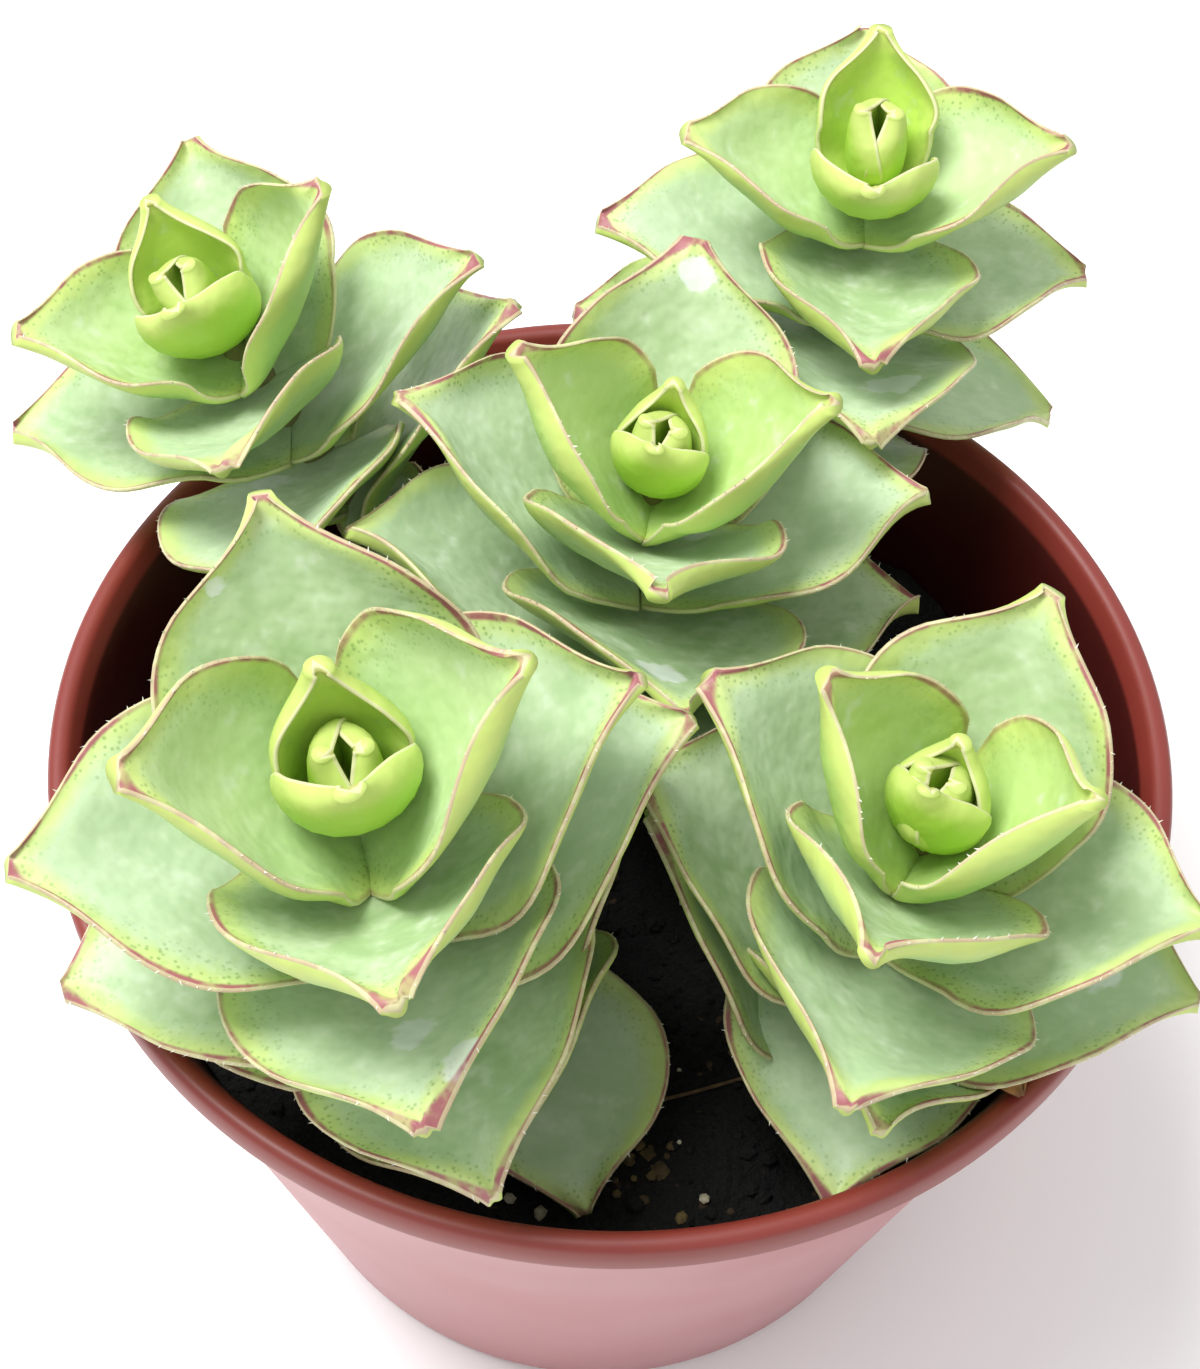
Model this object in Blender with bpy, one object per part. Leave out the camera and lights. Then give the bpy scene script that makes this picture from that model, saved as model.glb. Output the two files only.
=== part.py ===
"""A string of buttons, Crassula perforata, in a squat round nursery pot.

Five leafy stems stand in dark soil. Each stem carries leaf pairs that are joined round it,
every pair turned a quarter from the one above. Lengths here are in millimetres and angles in
degrees, and the meshes are written in metres, Z up, with the pot's base centred on the origin.
"""

import math
import random

import bmesh
import bpy
import numpy as np
from mathutils.bvhtree import BVHTree

MM = 0.001

# Pot
POT_HEIGHT = 72.0
LIP_RADIUS = 51.0
LIP_HEIGHT = 4.0
LIP_OVERHANG = 1.7
RIM_WIDTH = 2.0
BASE_RADIUS = 35.5
FLOOR = 1.6
WALL = 1.4
POT_SIDES = 44
DRAIN_HOLES = 4
DRAIN_RADIUS = 3.0
DRAIN_CIRCLE = 24.0
FIT_GAP = 0.3

# Soil
SOIL_TOP = 54.0
SOIL_WAVE = 0.8
SOIL_RINGS = 5
SOIL_SIDES = 36
GRAIN_COUNT = 14
GRAIN_SEED = 11

# Growth, shared by the stems: age counts leaf pairs down from the top of the stem
CHORD = 27.8
CHORD_AGE = 1.5
RISE = 86.0
RISE_AGE = 3.54
SPACING = 6.0
SPACING_AGE = 3.16
BUD_PAIRS = ((0, 7.6, 72.0, 0.2), (-1, 4.2, 74.0, 1.2))
MOST_CUP = 76.0
MOST_CURL = 30.0
UNEVEN_RISE = 3.0
UNEVEN_LENGTH = 0.96
UNEVEN_YAW = 2.0

# Leaf
WIDTH_SHARE = 0.94
WIDTH_YOUNG = 0.3
WAIST = 0.6
WIDEST_AT = 0.42
OUTLINE_POWER = 2.3
TIP_HALF_WIDTH = 0.4
THICK = 2.0
EDGE_THICK = 0.8
ALONG = (0.0, 0.22, 0.48, 0.79, 1.0)
ALONG_FEW = (0.0, 0.35, 0.75, 1.0)
FULL_PAIRS = range(1, 7)
ACROSS = (-1.0, -0.55, 0.0, 0.55, 1.0)
POT_CLEARANCE = 0.8
SOIL_CLEARANCE = 0.8
LEAF_GAP = 0.35
BEND_LENGTHS = (1.0, 0.93, 0.86, 0.78, 0.7, 0.6, 0.5, 0.4)
BEND_LIFTS = (0.0, 5.0, 10.0, -5.0, 16.0, -10.0, 22.0)

# Stem
STEM_RADIUS = 2.0
STEM_SIDES = 6
STEM_BURIED = 15.0

# Stems: where each would leave the soil, where its top stands, how far the middle bows aside,
# how far the pot's wall pulls the lower part back in, the turn of the top pair, the extra turn of each pair, leaf size, age of the top pair, the
# extra rise of the leaves and the number of pairs. Bent leaves are named by pair and side:
# yaw, extra rise and share of the length.
STEMS = {
    "stem_front_left": {
        "foot": (-4.0, -21.0),
        "head": (-19.5, -28.0, 102.0),
        "bow": (-8.5, 1.5),
        "pull": (0.0, 0.0),
        "turn": 16.0,
        "twist": 0.3,
        "size": 1.06,
        "age": 0.15,
        "lift": 9.0,
        "pairs": 9,
        "bent": {},
    },
    "stem_front_right": {
        "foot": (15.5, -17.0),
        "head": (25.5, -21.5, 90.5),
        "bow": (6.0, -1.5),
        "pull": (0.0, 0.0),
        "turn": -32.0,
        "twist": 3.1,
        "size": 1.01,
        "age": -0.26,
        "lift": 8.0,
        "pairs": 8,
        "bent": {},
    },
    "stem_middle": {
        "foot": (-6.0, 6.0),
        "head": (3.0, 13.5, 91.5),
        "bow": (4.0, 6.0),
        "pull": (0.0, 0.0),
        "turn": -13.0,
        "twist": 4.1,
        "size": 1.04,
        "age": -0.18,
        "lift": 3.0,
        "pairs": 8,
        "bent": {},
    },
    "stem_back_left": {
        "foot": (-22.5, 27.5),
        "head": (-39.5, 32.5, 89.0),
        "bow": (-2.5, 6.0),
        "pull": (5.0, -5.5),
        "turn": 15.0,
        "twist": -2.3,
        "size": 0.98,
        "age": 0.12,
        "lift": -1.0,
        "pairs": 8,
        "bent": {},
    },
    "stem_back_right": {
        "foot": (11.5, 34.5),
        "head": (22.5, 47.0, 98.0),
        "bow": (7.0, 10.0),
        "pull": (-4.0, -10.0),
        "turn": -5.0,
        "twist": 1.9,
        "size": 0.91,
        "age": 0.13,
        "lift": -15.0,
        "pairs": 9,
        "bent": {},
    },
}


# Scene and materials
def clear_scene():
    for obj in list(bpy.data.objects):
        bpy.data.objects.remove(obj, do_unlink=True)


def make_material(name, colour, roughness):
    material = bpy.data.materials.new(name)
    material.use_nodes = True
    shader = material.node_tree.nodes["Principled BSDF"]
    shader.inputs["Base Color"].default_value = (*colour, 1.0)
    shader.inputs["Roughness"].default_value = roughness
    material.diffuse_color = (*colour, 1.0)
    return material


def make_object(name, points, faces, material, smooth=True):
    mesh = bpy.data.meshes.new(name)
    mesh.from_pydata([tuple(float(v) * MM for v in p) for p in points], [], faces)
    work = bmesh.new()
    work.from_mesh(mesh)
    bmesh.ops.recalc_face_normals(work, faces=work.faces)
    work.to_mesh(mesh)
    work.free()
    mesh.materials.append(material)
    for polygon in mesh.polygons:
        polygon.use_smooth = smooth
    obj = bpy.data.objects.new(name, mesh)
    bpy.context.scene.collection.objects.link(obj)
    return obj


def keep_largest(mesh):
    """Drops loose scraps and fills sealed hollows by keeping only the largest closed skin."""
    work = bmesh.new()
    work.from_mesh(mesh)
    bmesh.ops.triangulate(work, faces=work.faces)
    unseen = set(work.faces)
    skins = []
    while unseen:
        front = [unseen.pop()]
        skin = []
        while front:
            face = front.pop()
            skin.append(face)
            for edge in face.edges:
                for other in edge.link_faces if len(edge.link_faces) == 2 else ():
                    if other in unseen:
                        unseen.discard(other)
                        front.append(other)
        skins.append(skin)

    def volume(skin):
        corners = [[np.array(v.co) for v in face.verts] for face in skin]
        return sum(float(a @ np.cross(b, c)) for a, b, c in corners)

    skins.sort(key=volume)
    extra = [face for skin in skins[:-1] for face in skin]
    bmesh.ops.delete(work, geom=extra, context="FACES")
    work.to_mesh(mesh)
    work.free()


def join_by_boolean(obj, others, operation, solver):
    """Cuts or joins the others with one modifier, applies it and removes them."""
    group = bpy.data.collections.new(obj.name + "_others")
    for other in others:
        for home in list(other.users_collection):
            home.objects.unlink(other)
        group.objects.link(other)
    modifier = obj.modifiers.new(operation.title(), "BOOLEAN")
    modifier.operation = operation
    modifier.solver = solver
    modifier.operand_type = "COLLECTION"
    modifier.collection = group
    graph = bpy.context.evaluated_depsgraph_get()
    mesh = bpy.data.meshes.new_from_object(obj.evaluated_get(graph))
    mesh.name = obj.name
    keep_largest(mesh)
    obj.modifiers.clear()
    obj.data = mesh
    for other in others:
        bpy.data.objects.remove(other, do_unlink=True)
    bpy.data.collections.remove(group)
    return obj


# Turned shapes
def turned(profile, sides):
    """Points and faces of a closed (radius, height) profile turned round the Z axis."""
    points, rings, faces = [], [], []
    for radius, height in profile:
        if radius == 0.0:
            rings.append([len(points)] * sides)
            points.append((0.0, 0.0, height))
            continue
        rings.append(list(range(len(points), len(points) + sides)))
        for step in range(sides):
            angle = 2 * math.pi * step / sides
            points.append((radius * math.cos(angle), radius * math.sin(angle), height))
    for upper, lower in zip(rings, rings[1:] + rings[:1]):
        for step in range(sides):
            after = (step + 1) % sides
            corners = (upper[step], upper[after], lower[after], lower[step])
            face = list(dict.fromkeys(corners))
            if len(face) > 2:
                faces.append(face)
    return points, faces


def outer_radius(height):
    """Radius of the pot's outer wall under the lip."""
    top = LIP_RADIUS - LIP_OVERHANG
    share = height / (POT_HEIGHT - LIP_HEIGHT)
    return BASE_RADIUS + (top - BASE_RADIUS) * share


def inner_radius(height):
    return outer_radius(height) - WALL


def pot_profile():
    under_lip = POT_HEIGHT - LIP_HEIGHT
    return [
        (0.0, 0.0),
        (BASE_RADIUS - 0.8, 0.0),
        (BASE_RADIUS + 0.3, 1.2),
        (outer_radius(under_lip), under_lip),
        (LIP_RADIUS, under_lip + 0.4),
        (LIP_RADIUS, POT_HEIGHT - 0.5),
        (LIP_RADIUS - 0.4, POT_HEIGHT),
        (LIP_RADIUS - RIM_WIDTH, POT_HEIGHT),
        (inner_radius(under_lip), under_lip),
        (inner_radius(FLOOR), FLOOR),
        (0.0, FLOOR),
    ]


def build_pot(material):
    pot = make_object("pot", *turned(pot_profile(), POT_SIDES), material)
    drills = []
    for index in range(DRAIN_HOLES):
        angle = 2 * math.pi * (index + 0.5) / DRAIN_HOLES
        x, y = DRAIN_CIRCLE * math.cos(angle), DRAIN_CIRCLE * math.sin(angle)
        points, faces = turned([(0.0, -2.0), (DRAIN_RADIUS, -2.0), (DRAIN_RADIUS, 4.0), (0.0, 4.0)], 16)
        points = [(px + x, py + y, pz) for px, py, pz in points]
        drills.append(make_object("drill", points, faces, material))
    return join_by_boolean(pot, drills, "DIFFERENCE", "MANIFOLD")


# Stem curve and leaf pairs
def unit(vector):
    return vector / np.linalg.norm(vector)


def stem_ends(stem):
    foot = np.array([*stem["foot"], SOIL_TOP])
    head = np.array(stem["head"])
    middle = (foot + head) / 2 + np.array([*stem["bow"], 0.0])
    return foot, middle, head


def stem_point(stem, share):
    """Point on the stem's curve, from 0 at the soil to 1 at the top."""
    foot, middle, head = stem_ends(stem)
    pull = np.array([*stem["pull"], 0.0]) * (1 - share**2)
    return (1 - share) ** 2 * foot + 2 * share * (1 - share) * middle + share**2 * head + pull


def stem_heading(stem, share):
    foot, middle, head = stem_ends(stem)
    return unit((1 - share) * (middle - foot) + share * (head - middle))


def pair_rows(stem):
    """(pair, chord, rise, depth below the top) of each leaf pair, buds first."""
    rows = []
    for pair, chord, rise, above in BUD_PAIRS:
        rows.append((pair, chord * stem["size"], rise, -above))
    depth = 0.0
    for pair in range(1, stem["pairs"] + 1):
        age = pair + stem["age"]
        depth += SPACING * (1 - math.exp(-age / SPACING_AGE)) * stem["size"]
        chord = CHORD * (1 - math.exp(-age / CHORD_AGE)) * stem["size"]
        rise = RISE * math.exp(-age / RISE_AGE) + stem["lift"]
        rows.append((pair, chord, rise, depth))
    return rows


def pair_place(stem, pair, depth):
    """Centre, stem direction and outward direction of the pair's first leaf."""
    foot, _, head = stem_ends(stem)
    share = 1 - depth / np.linalg.norm(head - foot)
    axis = stem_heading(stem, min(share, 1.0))
    if share > 1.0:
        centre = head - axis * depth
    else:
        centre = stem_point(stem, share)
    turn = math.radians(stem["turn"] + (pair - 1) * (90.0 + stem["twist"]))
    out = np.array([math.sin(turn), -math.cos(turn), 0.0])
    return centre, axis, unit(out - axis * (out @ axis))


def half_width(along):
    """Share of the widest half width, from the stem to the tip."""
    if along < WIDEST_AT:
        return WAIST + (1 - WAIST) * math.sin(math.pi / 2 * along / WIDEST_AT)
    past = (along - WIDEST_AT) / (1 - WIDEST_AT)
    return 1 - past**OUTLINE_POWER


def side_name(pair, first):
    """F, R, B or L: the way a leaf points, counted from the front of the top pair."""
    return ("FB" if pair % 4 == 1 else "RL" if pair % 4 == 2 else "BF" if pair % 4 == 3 else "LR")[
        0 if first else 1
    ]


def along_places(pair):
    """Where the crosswise rows of a leaf lie: the small and the lowest leaves have fewer."""
    return ALONG if pair in FULL_PAIRS else ALONG_FEW


def leaf_rings(centre, axis, out, chord, rise, age, places, young=False):
    """Upper and lower points of each crosswise row of one leaf, stem to tip."""
    curl = min(-8.0 + 60.0 * math.exp(-age / 2.5), MOST_CURL)
    cup = min(18.0 + 115.0 * math.exp(-age / 1.7), MOST_CUP)
    widest = chord * (WIDTH_SHARE + WIDTH_YOUNG * math.exp(-age / 1.2)) / 2
    thick = EDGE_THICK + (THICK - EDGE_THICK) * min(1.0, chord / 12.0)
    side = np.cross(axis, out)
    steps = 24
    spine, tangents = [np.zeros(2)], []
    for step in range(steps + 1):
        angle = math.radians(rise + curl * (2 * step / steps - 1))
        tangents.append(np.array([math.cos(angle), math.sin(angle)]))
    for step in range(steps):
        spine.append(spine[-1] + (tangents[step] + tangents[step + 1]) / 2)
    spine = np.array(spine) * chord / np.linalg.norm(spine[-1])
    upper, lower = [], []
    for along in places:
        place = along * steps
        x, z = (np.interp(place, range(steps + 1), spine[:, i]) for i in (0, 1))
        angle = math.radians(rise + curl * (2 * along - 1))
        normal = -out * math.sin(angle) + axis * math.cos(angle)
        if along == 0.0:
            normal = axis
            x = -0.6 if young else 0.0
        arc = math.radians(cup) * (0.35 + 0.65 * min(1.0, along / 0.3))
        reach = max(widest * half_width(along), TIP_HALF_WIDTH)
        radius = reach / arc
        middle = centre + out * x + axis * z
        top, bottom = [], []
        for across in ACROSS:
            swing = across * arc
            point = middle + side * radius * math.sin(swing) + normal * radius * (1 - math.cos(swing))
            facing = normal * math.cos(swing) - side * math.sin(swing)
            depth = EDGE_THICK + (thick - EDGE_THICK) * (1 - 0.5 * along) * (1 - across**2) ** 0.7
            top.append(point)
            bottom.append(point - facing * depth)
        upper.append(top)
        lower.append(bottom)
    return upper, lower


def clears_pot(points):
    """Whether the points keep off the soil and off the pot's wall and lip."""
    for x, y, z in points:
        reach = math.hypot(x, y)
        if z < POT_HEIGHT + POT_CLEARANCE:
            if inner_radius(z) - POT_CLEARANCE < reach < LIP_RADIUS + POT_CLEARANCE:
                return False
        if z < soil_height(x, y) + SOIL_CLEARANCE:
            return False
    return True


def ring_faces(rows):
    """Faces of a closed blade of this many crosswise rows, upper points first."""
    wide = len(ACROSS)
    under = rows * wide
    faces = []
    for row in range(rows - 1):
        for col in range(wide - 1):
            a = row * wide + col
            b, c, d = a + 1, a + wide + 1, a + wide
            if (row < (rows - 1) / 2) == (col < (wide - 1) / 2):
                halves = ((a, b, c), (a, c, d))
            else:
                halves = ((a, b, d), (b, c, d))
            for half in halves:
                faces.append(half)
                faces.append(tuple(under + v for v in half[::-1]))
    border = [(0, c) for c in range(wide)]
    border += [(r, wide - 1) for r in range(1, rows)]
    border += [(rows - 1, c) for c in range(wide - 2, -1, -1)]
    border += [(r, 0) for r in range(rows - 2, 0, -1)]
    loop = [r * wide + c for r, c in border]
    for here, after in zip(loop, loop[1:] + loop[:1]):
        faces.append((after, here, under + here))
        faces.append((after, under + here, under + after))
    return faces


def blade_points(rings):
    upper, lower = rings
    return [p for row in upper for p in row] + [p for row in lower for p in row]


def swollen(rings):
    """The same leaf, thicker by the gap that it keeps from leaves of other stems."""
    upper, lower = np.array(rings[0][1:]), np.array(rings[1][1:])
    across = upper - lower
    across *= LEAF_GAP / np.linalg.norm(across, axis=2, keepdims=True)
    spine = (upper + lower)[:, 2:3] / 2
    return [upper + across + (upper - spine) * 0.03, lower - across + (lower - spine) * 0.03]


def clears_others(rings, owner, placed):
    points = [tuple(p) for p in blade_points(swollen(rings))]
    tree = BVHTree.FromPolygons(points, ring_faces(len(rings[0]) - 1))
    return not any(other.overlap(tree) for name, other in placed if name != owner)


def fitted_leaf(centre, axis, way, chord, rise, age, places, young, owner, placed):
    """The longest, least bent leaf that clears the pot, the soil and the other stems."""
    for length in BEND_LENGTHS:
        for lift in BEND_LIFTS:
            rings = leaf_rings(centre, axis, way, chord * length, rise + lift, age, places, young)
            if not clears_pot(blade_points((rings[0][1:], rings[1][1:]))):
                continue
            if clears_others(rings, owner, placed):
                return rings
    return rings


def pair_blades(name, pair, chord, rise, depth, placed):
    """Upper and lower rows of a leaf pair: one blade from tip to tip, or two while it is young."""
    stem = STEMS[name]
    centre, axis, out = pair_place(stem, pair, depth)
    age = max(pair + stem["age"], 0.2)
    leaves = []
    for first in (True, False):
        yaw, lift, stretch = stem["bent"].get(f"{pair}{side_name(pair, first)}", (0.0, 0.0, 1.0))
        way = out if first else -out
        if not first:
            yaw, lift, stretch = yaw + UNEVEN_YAW, lift - UNEVEN_RISE, stretch * UNEVEN_LENGTH
        way = way * math.cos(math.radians(yaw)) + np.cross(axis, way) * math.sin(math.radians(yaw))
        leaf = (centre, axis, way, chord * stretch, rise + lift, age, along_places(pair), pair < 2)
        leaves.append(fitted_leaf(*leaf, name, placed))
    if pair < 2:
        return leaves
    (up_a, low_a), (up_b, low_b) = leaves
    waist = chord
    middle_up, middle_low = up_a[0], low_a[0]
    while not clears_pot(middle_up + middle_low) and waist > chord / 4:
        waist *= 0.9
        (middle_up, *_), (middle_low, *_) = leaf_rings(centre, axis, out, waist, rise, age, (0.0,))
    upper = up_a[:0:-1] + [middle_up] + [row[::-1] for row in up_b[1:]]
    lower = low_a[:0:-1] + [middle_low] + [row[::-1] for row in low_b[1:]]
    return [(upper, lower)]


def stem_tube(stem):
    """Points and faces of the bare stem, from its buried end to just under the bud."""
    foot = stem_point(stem, 0.0)
    down = np.array([0.0, 0.0, -1.0])
    lines = [foot + down * STEM_BURIED, foot + down * 0.01]
    lines += [stem_point(stem, share) for share in (0.25, 0.5, 0.75, 1.0)]
    points, faces = [], []
    for index, centre in enumerate(lines):
        radius = STEM_RADIUS * (1.0 if index < 4 else 0.6)
        for step in range(STEM_SIDES):
            angle = 2 * math.pi * (step + 0.3) / STEM_SIDES
            points.append(centre + radius * np.array([math.cos(angle), math.sin(angle), 0.0]))
    for ring in range(len(lines) - 1):
        for step in range(STEM_SIDES):
            after = (step + 1) % STEM_SIDES
            low, high = ring * STEM_SIDES, (ring + 1) * STEM_SIDES
            faces.append((low + step, low + after, high + after, high + step))
    faces.append(tuple(range(STEM_SIDES))[::-1])
    faces.append(tuple(range((len(lines) - 1) * STEM_SIDES, len(lines) * STEM_SIDES)))
    return points, faces


def build_stems(material):
    """Places every stem's pairs from the top down, then joins each stem to one solid."""
    points, faces = turned(pot_profile(), POT_SIDES)
    placed = [("pot", BVHTree.FromPolygons(points, faces))]
    tubes, pairs = {}, {}
    for name, stem in STEMS.items():
        points, faces = stem_tube(stem)
        tubes[name] = make_object(name, points, faces, material)
        placed.append((name, BVHTree.FromPolygons([tuple(p) for p in points], faces)))
        pairs[name] = []
    rows = [(row[0], name, row) for name, stem in STEMS.items() for row in pair_rows(stem)]
    rows.sort(key=lambda item: item[0])
    for pair, name, (_, chord, rise, depth) in rows:
        for rings in pair_blades(name, pair, chord, rise, depth, placed):
            points = blade_points(rings)
            faces = ring_faces(len(rings[0]))
            placed.append((name, BVHTree.FromPolygons([tuple(p) for p in points], faces)))
            pairs[name].append(make_object("blade", points, faces, material))
    for name, tube in tubes.items():
        join_by_boolean(tube, pairs[name], "UNION", "EXACT")


# Soil
def soil_height(x, y):
    """Uneven top of the soil."""
    wave = math.sin(0.21 * x + 0.5) * math.cos(0.17 * y) + 0.6 * math.sin(0.37 * x - 0.29 * y)
    return SOIL_TOP + SOIL_WAVE * wave


def build_grains(material):
    """White and bark crumbs half sunk in the soil."""
    chance = random.Random(GRAIN_SEED)
    grains = []
    for _ in range(GRAIN_COUNT):
        angle = chance.uniform(0.0, 2 * math.pi)
        reach = chance.uniform(8.0, 40.0)
        x, y = reach * math.cos(angle), reach * math.sin(angle)
        size = chance.uniform(0.9, 1.8)
        feet = [stem_point(stem, 0.0) for stem in STEMS.values()]
        if min(math.hypot(x - foot[0], y - foot[1]) for foot in feet) < STEM_RADIUS + 3.5:
            continue
        points, faces = [], []
        for end in (-1, 1):
            points.append((x, y, soil_height(x, y) + end * size * 0.8))
        for step in range(6):
            turn = 2 * math.pi * step / 6
            wide = size * chance.uniform(0.8, 1.2)
            points.append((x + wide * math.cos(turn), y + wide * math.sin(turn), soil_height(x, y) + 0.1))
        for step in range(6):
            here, after = 2 + step, 2 + (step + 1) % 6
            faces.append((here, after, 1))
            faces.append((after, here, 0))
        grains.append(make_object("grain", points, faces, material))
    return grains


def build_soil(material):
    low = FLOOR + FIT_GAP
    edge_top = inner_radius(SOIL_TOP) - FIT_GAP - 0.1
    edge_low = inner_radius(low) - FIT_GAP
    points = [(0.0, 0.0, soil_height(0.0, 0.0))]
    for ring in range(1, SOIL_RINGS + 1):
        radius = edge_top * ring / SOIL_RINGS
        for step in range(SOIL_SIDES):
            angle = 2 * math.pi * step / SOIL_SIDES
            x, y = radius * math.cos(angle), radius * math.sin(angle)
            points.append((x, y, soil_height(x, y) if ring < SOIL_RINGS else SOIL_TOP))
    for step in range(SOIL_SIDES):
        angle = 2 * math.pi * step / SOIL_SIDES
        points.append((edge_low * math.cos(angle), edge_low * math.sin(angle), low))
    points.append((0.0, 0.0, low))
    faces = []
    for step in range(SOIL_SIDES):
        after = (step + 1) % SOIL_SIDES
        faces.append((0, 1 + step, 1 + after))
        for ring in range(SOIL_RINGS):
            inner, outer = 1 + ring * SOIL_SIDES, 1 + (ring + 1) * SOIL_SIDES
            a, b, c, d = inner + step, outer + step, outer + after, inner + after
            faces += [(a, b, c), (a, c, d)]
        last = 1 + SOIL_RINGS * SOIL_SIDES
        faces.append((last + step, len(points) - 1, last + after))
    soil = make_object("soil", points, faces, material)
    join_by_boolean(soil, build_grains(material), "UNION", "MANIFOLD")
    drills = []
    for stem in STEMS.values():
        deep = SOIL_TOP - STEM_BURIED - FIT_GAP
        wide = STEM_RADIUS + FIT_GAP
        shape = [(0.0, deep), (wide, deep), (wide, SOIL_TOP + 6.0), (0.0, SOIL_TOP + 6.0)]
        hole, sides = turned(shape, STEM_SIDES * 2)
        foot = stem_point(stem, 0.0)
        hole = [(x + foot[0], y + foot[1], z) for x, y, z in hole]
        drills.append(make_object("drill", hole, sides, material))
    return join_by_boolean(soil, drills, "DIFFERENCE", "MANIFOLD")


def main():
    clear_scene()
    bpy.context.scene.unit_settings.scale_length = 1.0
    pot_red = make_material("pot_red_plastic", (0.36, 0.09, 0.075), 0.45)
    soil_dark = make_material("potting_soil", (0.02, 0.017, 0.014), 0.95)
    leaf_green = make_material("leaf_green", (0.38, 0.58, 0.33), 0.5)
    build_pot(pot_red)
    build_soil(soil_dark)
    build_stems(leaf_green)


main()
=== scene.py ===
"""Dresses a string of buttons in its nursery pot: finer leaves, margins, soil and pot.

Growth lengths are in millimetres and angles in degrees, as a grower would note them. Meshes
are in metres, Z up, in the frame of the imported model.
"""

import random
from math import cos, dist, exp, hypot, pi, radians, sin, sqrt

import bmesh
import bpy
import numpy as np
from mathutils import Matrix, Vector
from mathutils.bvhtree import BVHTree


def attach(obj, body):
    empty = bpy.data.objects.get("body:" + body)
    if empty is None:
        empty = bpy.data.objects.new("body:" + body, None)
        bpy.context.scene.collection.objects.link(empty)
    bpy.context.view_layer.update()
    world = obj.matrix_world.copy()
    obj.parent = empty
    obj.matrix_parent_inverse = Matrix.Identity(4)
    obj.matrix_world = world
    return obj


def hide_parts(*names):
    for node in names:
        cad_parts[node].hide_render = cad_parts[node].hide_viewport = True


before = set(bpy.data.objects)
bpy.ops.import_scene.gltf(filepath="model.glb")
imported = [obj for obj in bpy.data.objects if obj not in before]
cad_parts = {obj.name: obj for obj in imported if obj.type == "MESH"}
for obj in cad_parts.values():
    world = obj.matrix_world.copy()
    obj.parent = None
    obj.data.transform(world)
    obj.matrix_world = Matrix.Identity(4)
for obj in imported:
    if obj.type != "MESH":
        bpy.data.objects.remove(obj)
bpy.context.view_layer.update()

bl_info = {
    "name": "String of buttons",
    "version": (1, 0, 0),
    "blender": (4, 5, 0),
    "location": "3D View > Sidebar > Plant",
    "description": "Builds a potted string of buttons over its packed solids",
    "category": "Add Mesh",
}

MM = 0.001

# Pot
POT_HEIGHT = 72.0
LIP_RADIUS = 51.0
LIP_HEIGHT = 4.0
LIP_OVERHANG = 1.7
RIM_WIDTH = 2.0
BASE_RADIUS = 35.5
FLOOR = 1.6
WALL = 1.4
DRAIN_HOLES = 4
DRAIN_RADIUS = 3.0
DRAIN_CIRCLE = 24.0
POT_SIDES = 192
POT_SMOOTH_ANGLE = 40.0

# Soil
SOIL_TOP = 54.0
SOIL_WAVE = 0.8
FIT_GAP = 0.3
SOIL_RINGS = 70
SOIL_SIDES = 160
SOIL_SEED = 5
SOIL_SPREAD = 43.0
CRUMB_FLATNESS = 0.7
BARK_FLATNESS = 0.5
BARK_CLUMP = 22
BARK_LOOSE = 24
FRONT_GRAINS = (
    (-7.3, -39.1, 0.6),
    (-4.6, -40.2, 0.7),
    (0.3, -42.6, 0.5),
    (9.7, -38.9, 0.5),
    (-6.0, -42.5, 0.4),
)
FIBRE_RADIUS = 0.18
FIBRE_PATH = ((1.5, -31.0), (4.5, -29.5), (8.0, -28.5), (11.5, -27.0), (14.0, -26.5))

# Withered leaf tip, from the soil side of the rim to its top
SCRAP_START = (33.2, -33.6, 71.0)
SCRAP_END = (34.6, -36.2, 72.6)
SCRAP_SIDE = (0.75, 0.62, 0.0)
SCRAP_ROWS = 10
SCRAP_COLS = 5
SCRAP_THICK = 0.25

# Growth, shared by the stems: age counts leaf pairs down from the top of the stem
CHORD = 27.8
CHORD_AGE = 1.5
RISE = 86.0
RISE_AGE = 3.54
SPACING = 6.0
SPACING_AGE = 3.16
BUD_PAIRS = ((0, 7.6, 72.0, 0.2), (-1, 4.2, 74.0, 1.2))
CURL_OLD = -8.0
CURL_YOUNG = 60.0
CURL_AGE = 2.5
CUP_OLD = 18.0
CUP_YOUNG = 115.0
CUP_AGE = 1.7
MOST_CUP = 76.0
MOST_CURL = 30.0
UNEVEN_RISE = 3.0
UNEVEN_LENGTH = 0.96
UNEVEN_YAW = 2.0

# Leaf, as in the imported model
WIDTH_SHARE = 0.94
WIDTH_YOUNG = 0.3
WIDTH_AGE = 1.2
WAIST = 0.6
WIDEST_AT = 0.42
OUTLINE_POWER = 2.3
THICK = 2.0
EDGE_THICK = 0.8
FULL_THICK_CHORD = 12.0
SPINE_STEPS = 24
YOUNG_BASE_SHIFT = -0.6
CAD_ALONG = (0.0, 0.22, 0.48, 0.79, 1.0)
CAD_ALONG_FEW = (0.0, 0.35, 0.75, 1.0)
CAD_ACROSS = (-1.0, -0.55, 0.0, 0.55, 1.0)
CAD_TIP = 0.4
FULL_PAIRS = range(1, 7)
POT_CLEARANCE = 0.8
SOIL_CLEARANCE = 0.8
LEAF_GAP = 0.35
BEND_LENGTHS = (1.0, 0.93, 0.86, 0.78, 0.7, 0.6, 0.5, 0.4)
BEND_LIFTS = (0.0, 5.0, 10.0, -5.0, 16.0, -10.0, 22.0)

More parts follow.
